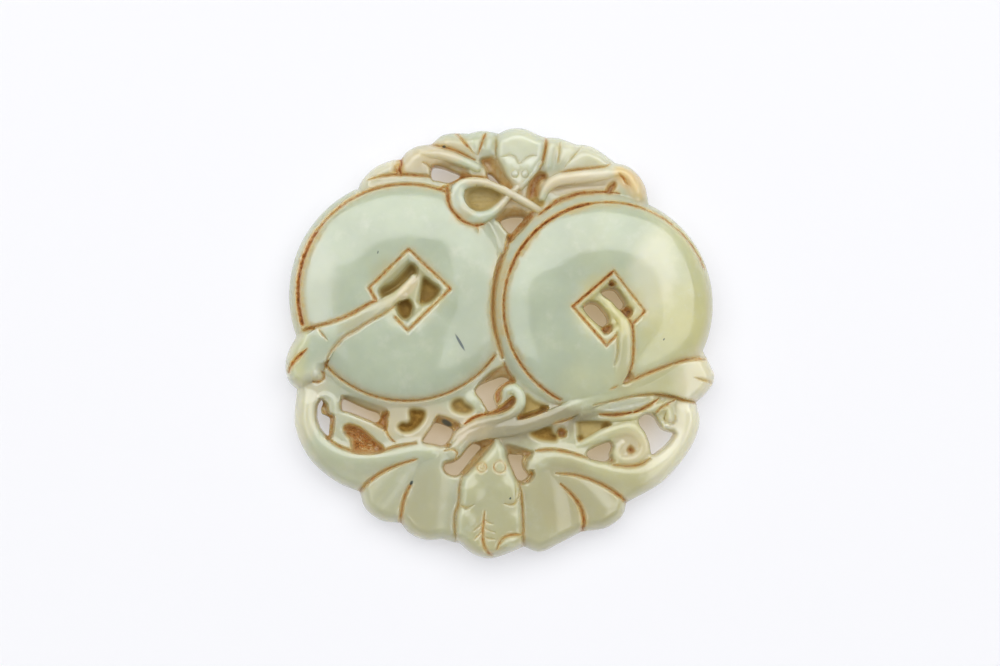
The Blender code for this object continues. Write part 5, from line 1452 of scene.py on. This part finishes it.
def jade_material():
    """Polished translucent celadon, honey-coloured to the right, with brown in its grooves and hollows."""
    material, tree = empty_material("jade")
    place = tree.node("ShaderNodeTexCoord", output="Object")
    in_mm = tree.node("ShaderNodeVectorMath", {"operation": "SCALE"}, {0: place, "Scale": 1 / MM})
    axes = tree.node("ShaderNodeSeparateXYZ", None, {"Vector": in_mm})
    x, y = axes, axes.other("Y")

    def texture(scale, detail=3.0, roughness=0.55):
        return tree.node("ShaderNodeTexNoise", None,
                         {"Vector": in_mm, "Scale": scale, "Detail": detail, "Roughness": roughness})

    def painted(name):
        return tree.node("ShaderNodeAttribute", {"attribute_name": name}, output="Fac")

    def spot(left, up, angle, length, width):
        """1 inside an ellipse on the plan and 0 outside it."""
        turned = tree.node("ShaderNodeMapping", {"vector_type": "TEXTURE"}, {
            "Vector": tree.node("ShaderNodeCombineXYZ", None, {"X": x, "Y": y}),
            "Location": (left, up, 0), "Rotation": (0, 0, math.radians(angle)), "Scale": (length, width, 1),
        })
        return tree.node("ShaderNodeVectorMath", {"operation": "LENGTH"}, {0: turned}, output="Value")

    drift = texture(0.09, 2.0)
    wisps = texture(0.35, 5.0, 0.62)
    grain = texture(1.7, 4.0, 0.7)
    stain, halo, hollow = painted("stain"), painted("halo"), painted("hollow")
    sheltered, silty = painted("sheltered"), painted("silt")

    # The stone's own colours: honey to the right, moss at the foot, pale wisps, and patches of skin
    honey = (x * 0.04 - y * 0.012 + drift * 1.4 - 0.95).ease(-0.1, 1.1)
    colour = colour_mix(tree, honey, CELADON, HONEY)
    shade = (texture(0.16, 3.0, 0.6) - 0.5) * 0.35 + 1
    colour = tree.node("ShaderNodeVectorMath", {"operation": "SCALE"}, {0: colour, "Scale": shade})
    mossy = (y * -0.06 + drift * 1.2 - 1.3).ease(0.0, 1.0)
    colour = colour_mix(tree, mossy * 0.8, colour, MOSS)
    colour = colour_mix(tree, wisps.ease(0.5, 0.78) * 0.55, colour, CLOUD)
    for left, up, angle, length, width, amount, tint in PATCHES:
        patch = spot(left, up, angle, length, width) + (wisps - 0.5) * 0.9
        colour = colour_mix(tree, patch.ease(1.25, 0.55) * amount, colour, tint)

    # The low ground is duller, and the thin edges are painted lighter, more so towards the foot: painted
    # light for light coming through them
    low = axes.other("Z").ease(6.2, 4.4) * sheltered
    colour = colour_mix(tree, low * 0.4, colour, TAN)
    thin = sheltered.ease(1.0, 0.0) * y.ease(40.0, -30.0)
    colour = colour_mix(tree, thin * 0.45, colour, GLOW)

    # Dirt: a soaked halo, brown in the cuts and darkest where it is thickest. Last, small black marks
    soaked = (hollow.ease(0.05, 0.8) * 0.5 + halo.ease(0.0, 0.45) * 0.85) * (grain * 1.6 + 0.2)
    colour = colour_mix(tree, soaked.minimum(0.92), colour, OCHRE)
    patchy = stain * ((grain - 0.5) * 2.4 + 1)
    colour = colour_mix(tree, patchy.ease(0.3, 1.0), colour, RUSSET)
    colour = colour_mix(tree, patchy.ease(0.85, 1.4), colour, UMBER)
    for left, up, angle, length, width in SPECKS:
        colour = colour_mix(tree, spot(left, up, angle, length, width).ease(1.3, 0.7) * 0.9, colour, INK)

    pores = texture(1.1, 4.0, 0.6)
    bump = tree.node("ShaderNodeBump", None, {"Height": pores, **PORE_BUMP})
    stone = tree.node("ShaderNodeBsdfPrincipled", {"subsurface_method": "RANDOM_WALK"}, {
        "Base Color": colour,
        "Roughness": texture(0.6, 3.0) * 0.1 + 0.07 + stain.maximum(silty) * 0.45,
        # A painted glow in the hollows: painted light standing for light that comes through the stone
        "Emission Color": colour_mix(tree, hollow.ease(0.1, 1.2), BLACK, HOLLOW_PAINTED_GLOW),
        "Normal": bump,
        **STONE,
    })
    deep = colour_mix(tree, texture(0.8, 3.0, 0.6).ease(0.35, 0.7), OLIVE, SILT_BROWN)
    silt = tree.node("ShaderNodeBsdfPrincipled", None, {
        "Base Color": colour_mix(tree, silty.ease(0.9, 0.35), deep, STRAW),
        "Normal": bump,
        **MATTE,
    })
    covered = tree.node("ShaderNodeMixShader", None, {0: silty.ease(0.0, 0.85), 1: stone, 2: silt})
    tree.node("ShaderNodeOutputMaterial", None, {"Surface": covered})
    return material


PAPER = (0.42, 0.42, 0.42, 1.0)
PAPER_GLOW = (0.50, 0.50, 0.53, 1.0)
# Under the stone the paper's glow is painted dimmer and warm, as painted shade and painted light come through
# the stone; it gives way to the even glow between two distances in metres
PAPER_PAINTED_SHADE_AND_GLOW = (0.345, 0.26, 0.155, 1.0)
PAINTED_POOL_REACH = (0.018, 0.0285)


def paper_material():
    """White paper with an even glow, painted dimmer and warmer under the stone: painted shade, and painted
    light come through the stone.
    """
    material, tree = empty_material("paper")
    place = tree.node("ShaderNodeTexCoord", output="Object")
    reach = tree.node("ShaderNodeVectorMath", {"operation": "LENGTH"}, {0: place}, output="Value")
    shader = tree.node("ShaderNodeBsdfPrincipled", None, {
        "Base Color": PAPER,
        "Roughness": 0.9,
        "Specular IOR Level": 0.1,
        "Emission Color": colour_mix(tree, reach.ease(*PAINTED_POOL_REACH), PAPER_PAINTED_SHADE_AND_GLOW, PAPER_GLOW),
        "Emission Strength": 1.0,
    })
    tree.node("ShaderNodeOutputMaterial", None, {"Surface": shader})
    return material


TOOL_CHATTER = {"Chatter": 0.9, "Chatter Scale": 2600.0, "Seed": 4.0}
DIRT_SPREAD = {"Hollow Rounds": 24, "Halo Rounds": 4}
SHARP_ANGLE = 50


def carving():
    """The finished pendant as one plain mesh."""
    jade = jade_material()
    mesh, shift = body_mesh()
    rough = bpy.data.objects.new("rough", mesh)
    lines = bpy.data.objects.new("engraved_lines", line_mesh(shift))
    for thing in (rough, lines):
        bpy.context.scene.collection.objects.link(thing)
    apply_tree(rough, engraving(), {"Lines": lines, "Material": jade, **TOOL_CHATTER})
    apply_tree(rough, settling(), {"Material": jade, **DIRT_SPREAD})
    piece = bpy.data.objects.new("pendant", plain_copy(rough, "pendant"))
    for thing in (rough, lines):
        bpy.data.objects.remove(thing, do_unlink=True)
    bpy.context.scene.collection.objects.link(piece)
    piece.data.shade_smooth()
    piece.data.set_sharp_from_angle(angle=math.radians(SHARP_ANGLE))
    return piece


SKY = 0.25
SKY_COLOUR = (0.97, 0.98, 1.0, 1.0)
FLOOR_REACH = 2.0
CEILING = 1.2
LENS = 124.7
CAMERA_AIM = (-0.00005, 0.00126, 0.003)
CAMERA_OFFSET = (-0.012, -0.018, 0.45)
PANELS = {
    # centre, width and depth in metres, and brightness, all level with the ceiling
    "window": ((0.0, 0.70), (2.4, 1.04), 3.0),
    "left": ((-0.82, -0.14), (0.8, 0.62), 1.6),
    "right": ((0.72, -0.08), (0.9, 0.56), 2.0),
}


def look_at(thing, target):
    """Turns a thing's -Z to the target, with its top towards +Y."""
    forward = (Vector(target) - thing.location).normalized()
    side = forward.cross((0, 1, 0)).normalized()
    axes = Matrix((side, side.cross(forward), -forward)).transposed()
    thing.rotation_euler = axes.to_euler()


def lamp(name, centre, size, brightness):
    """A panel of light under the ceiling, facing down."""
    light = bpy.data.lights.new(name, "AREA")
    light.shape, light.size, light.size_y = "RECTANGLE", *size
    light.energy = brightness * math.pi * size[0] * size[1]
    thing = bpy.data.objects.new(name, light)
    thing.location = (*centre, CEILING)
    bpy.context.scene.collection.objects.link(thing)


def studio():
    """A sheet of paper under a soft sky and three panels of light."""
    sheet = bpy.data.meshes.new("floor")
    corners = [(x * FLOOR_REACH, y * FLOOR_REACH, 0) for x, y in ((-1, -1), (1, -1), (1, 1), (-1, 1))]
    sheet.from_pydata(corners, [], [(0, 1, 2, 3)])
    sheet.materials.append(paper_material())
    floor = bpy.data.objects.new("floor", sheet)
    bpy.context.scene.collection.objects.link(floor)
    world = bpy.data.worlds.new("sky")
    world.use_nodes = True
    background = world.node_tree.nodes["Background"]
    background.inputs["Color"].default_value = SKY_COLOUR
    background.inputs["Strength"].default_value = SKY
    bpy.context.scene.world = world
    for name, settings in PANELS.items():
        lamp(name, *settings)


def camera():
    """Looks almost straight down, from a little below and to the left."""
    data = bpy.data.cameras.new("camera")
    data.lens, data.sensor_width = LENS, 36.0
    data.clip_start = 0.01
    thing = bpy.data.objects.new("camera", data)
    thing.location = Vector(CAMERA_AIM) + Vector(CAMERA_OFFSET)
    bpy.context.scene.collection.objects.link(thing)
    look_at(thing, CAMERA_AIM)
    bpy.context.scene.camera = thing


pendant = carving()
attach(pendant, "root")
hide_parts(CAD_NODE)
studio()
camera()
bpy.context.scene.view_settings.view_transform = "Standard"
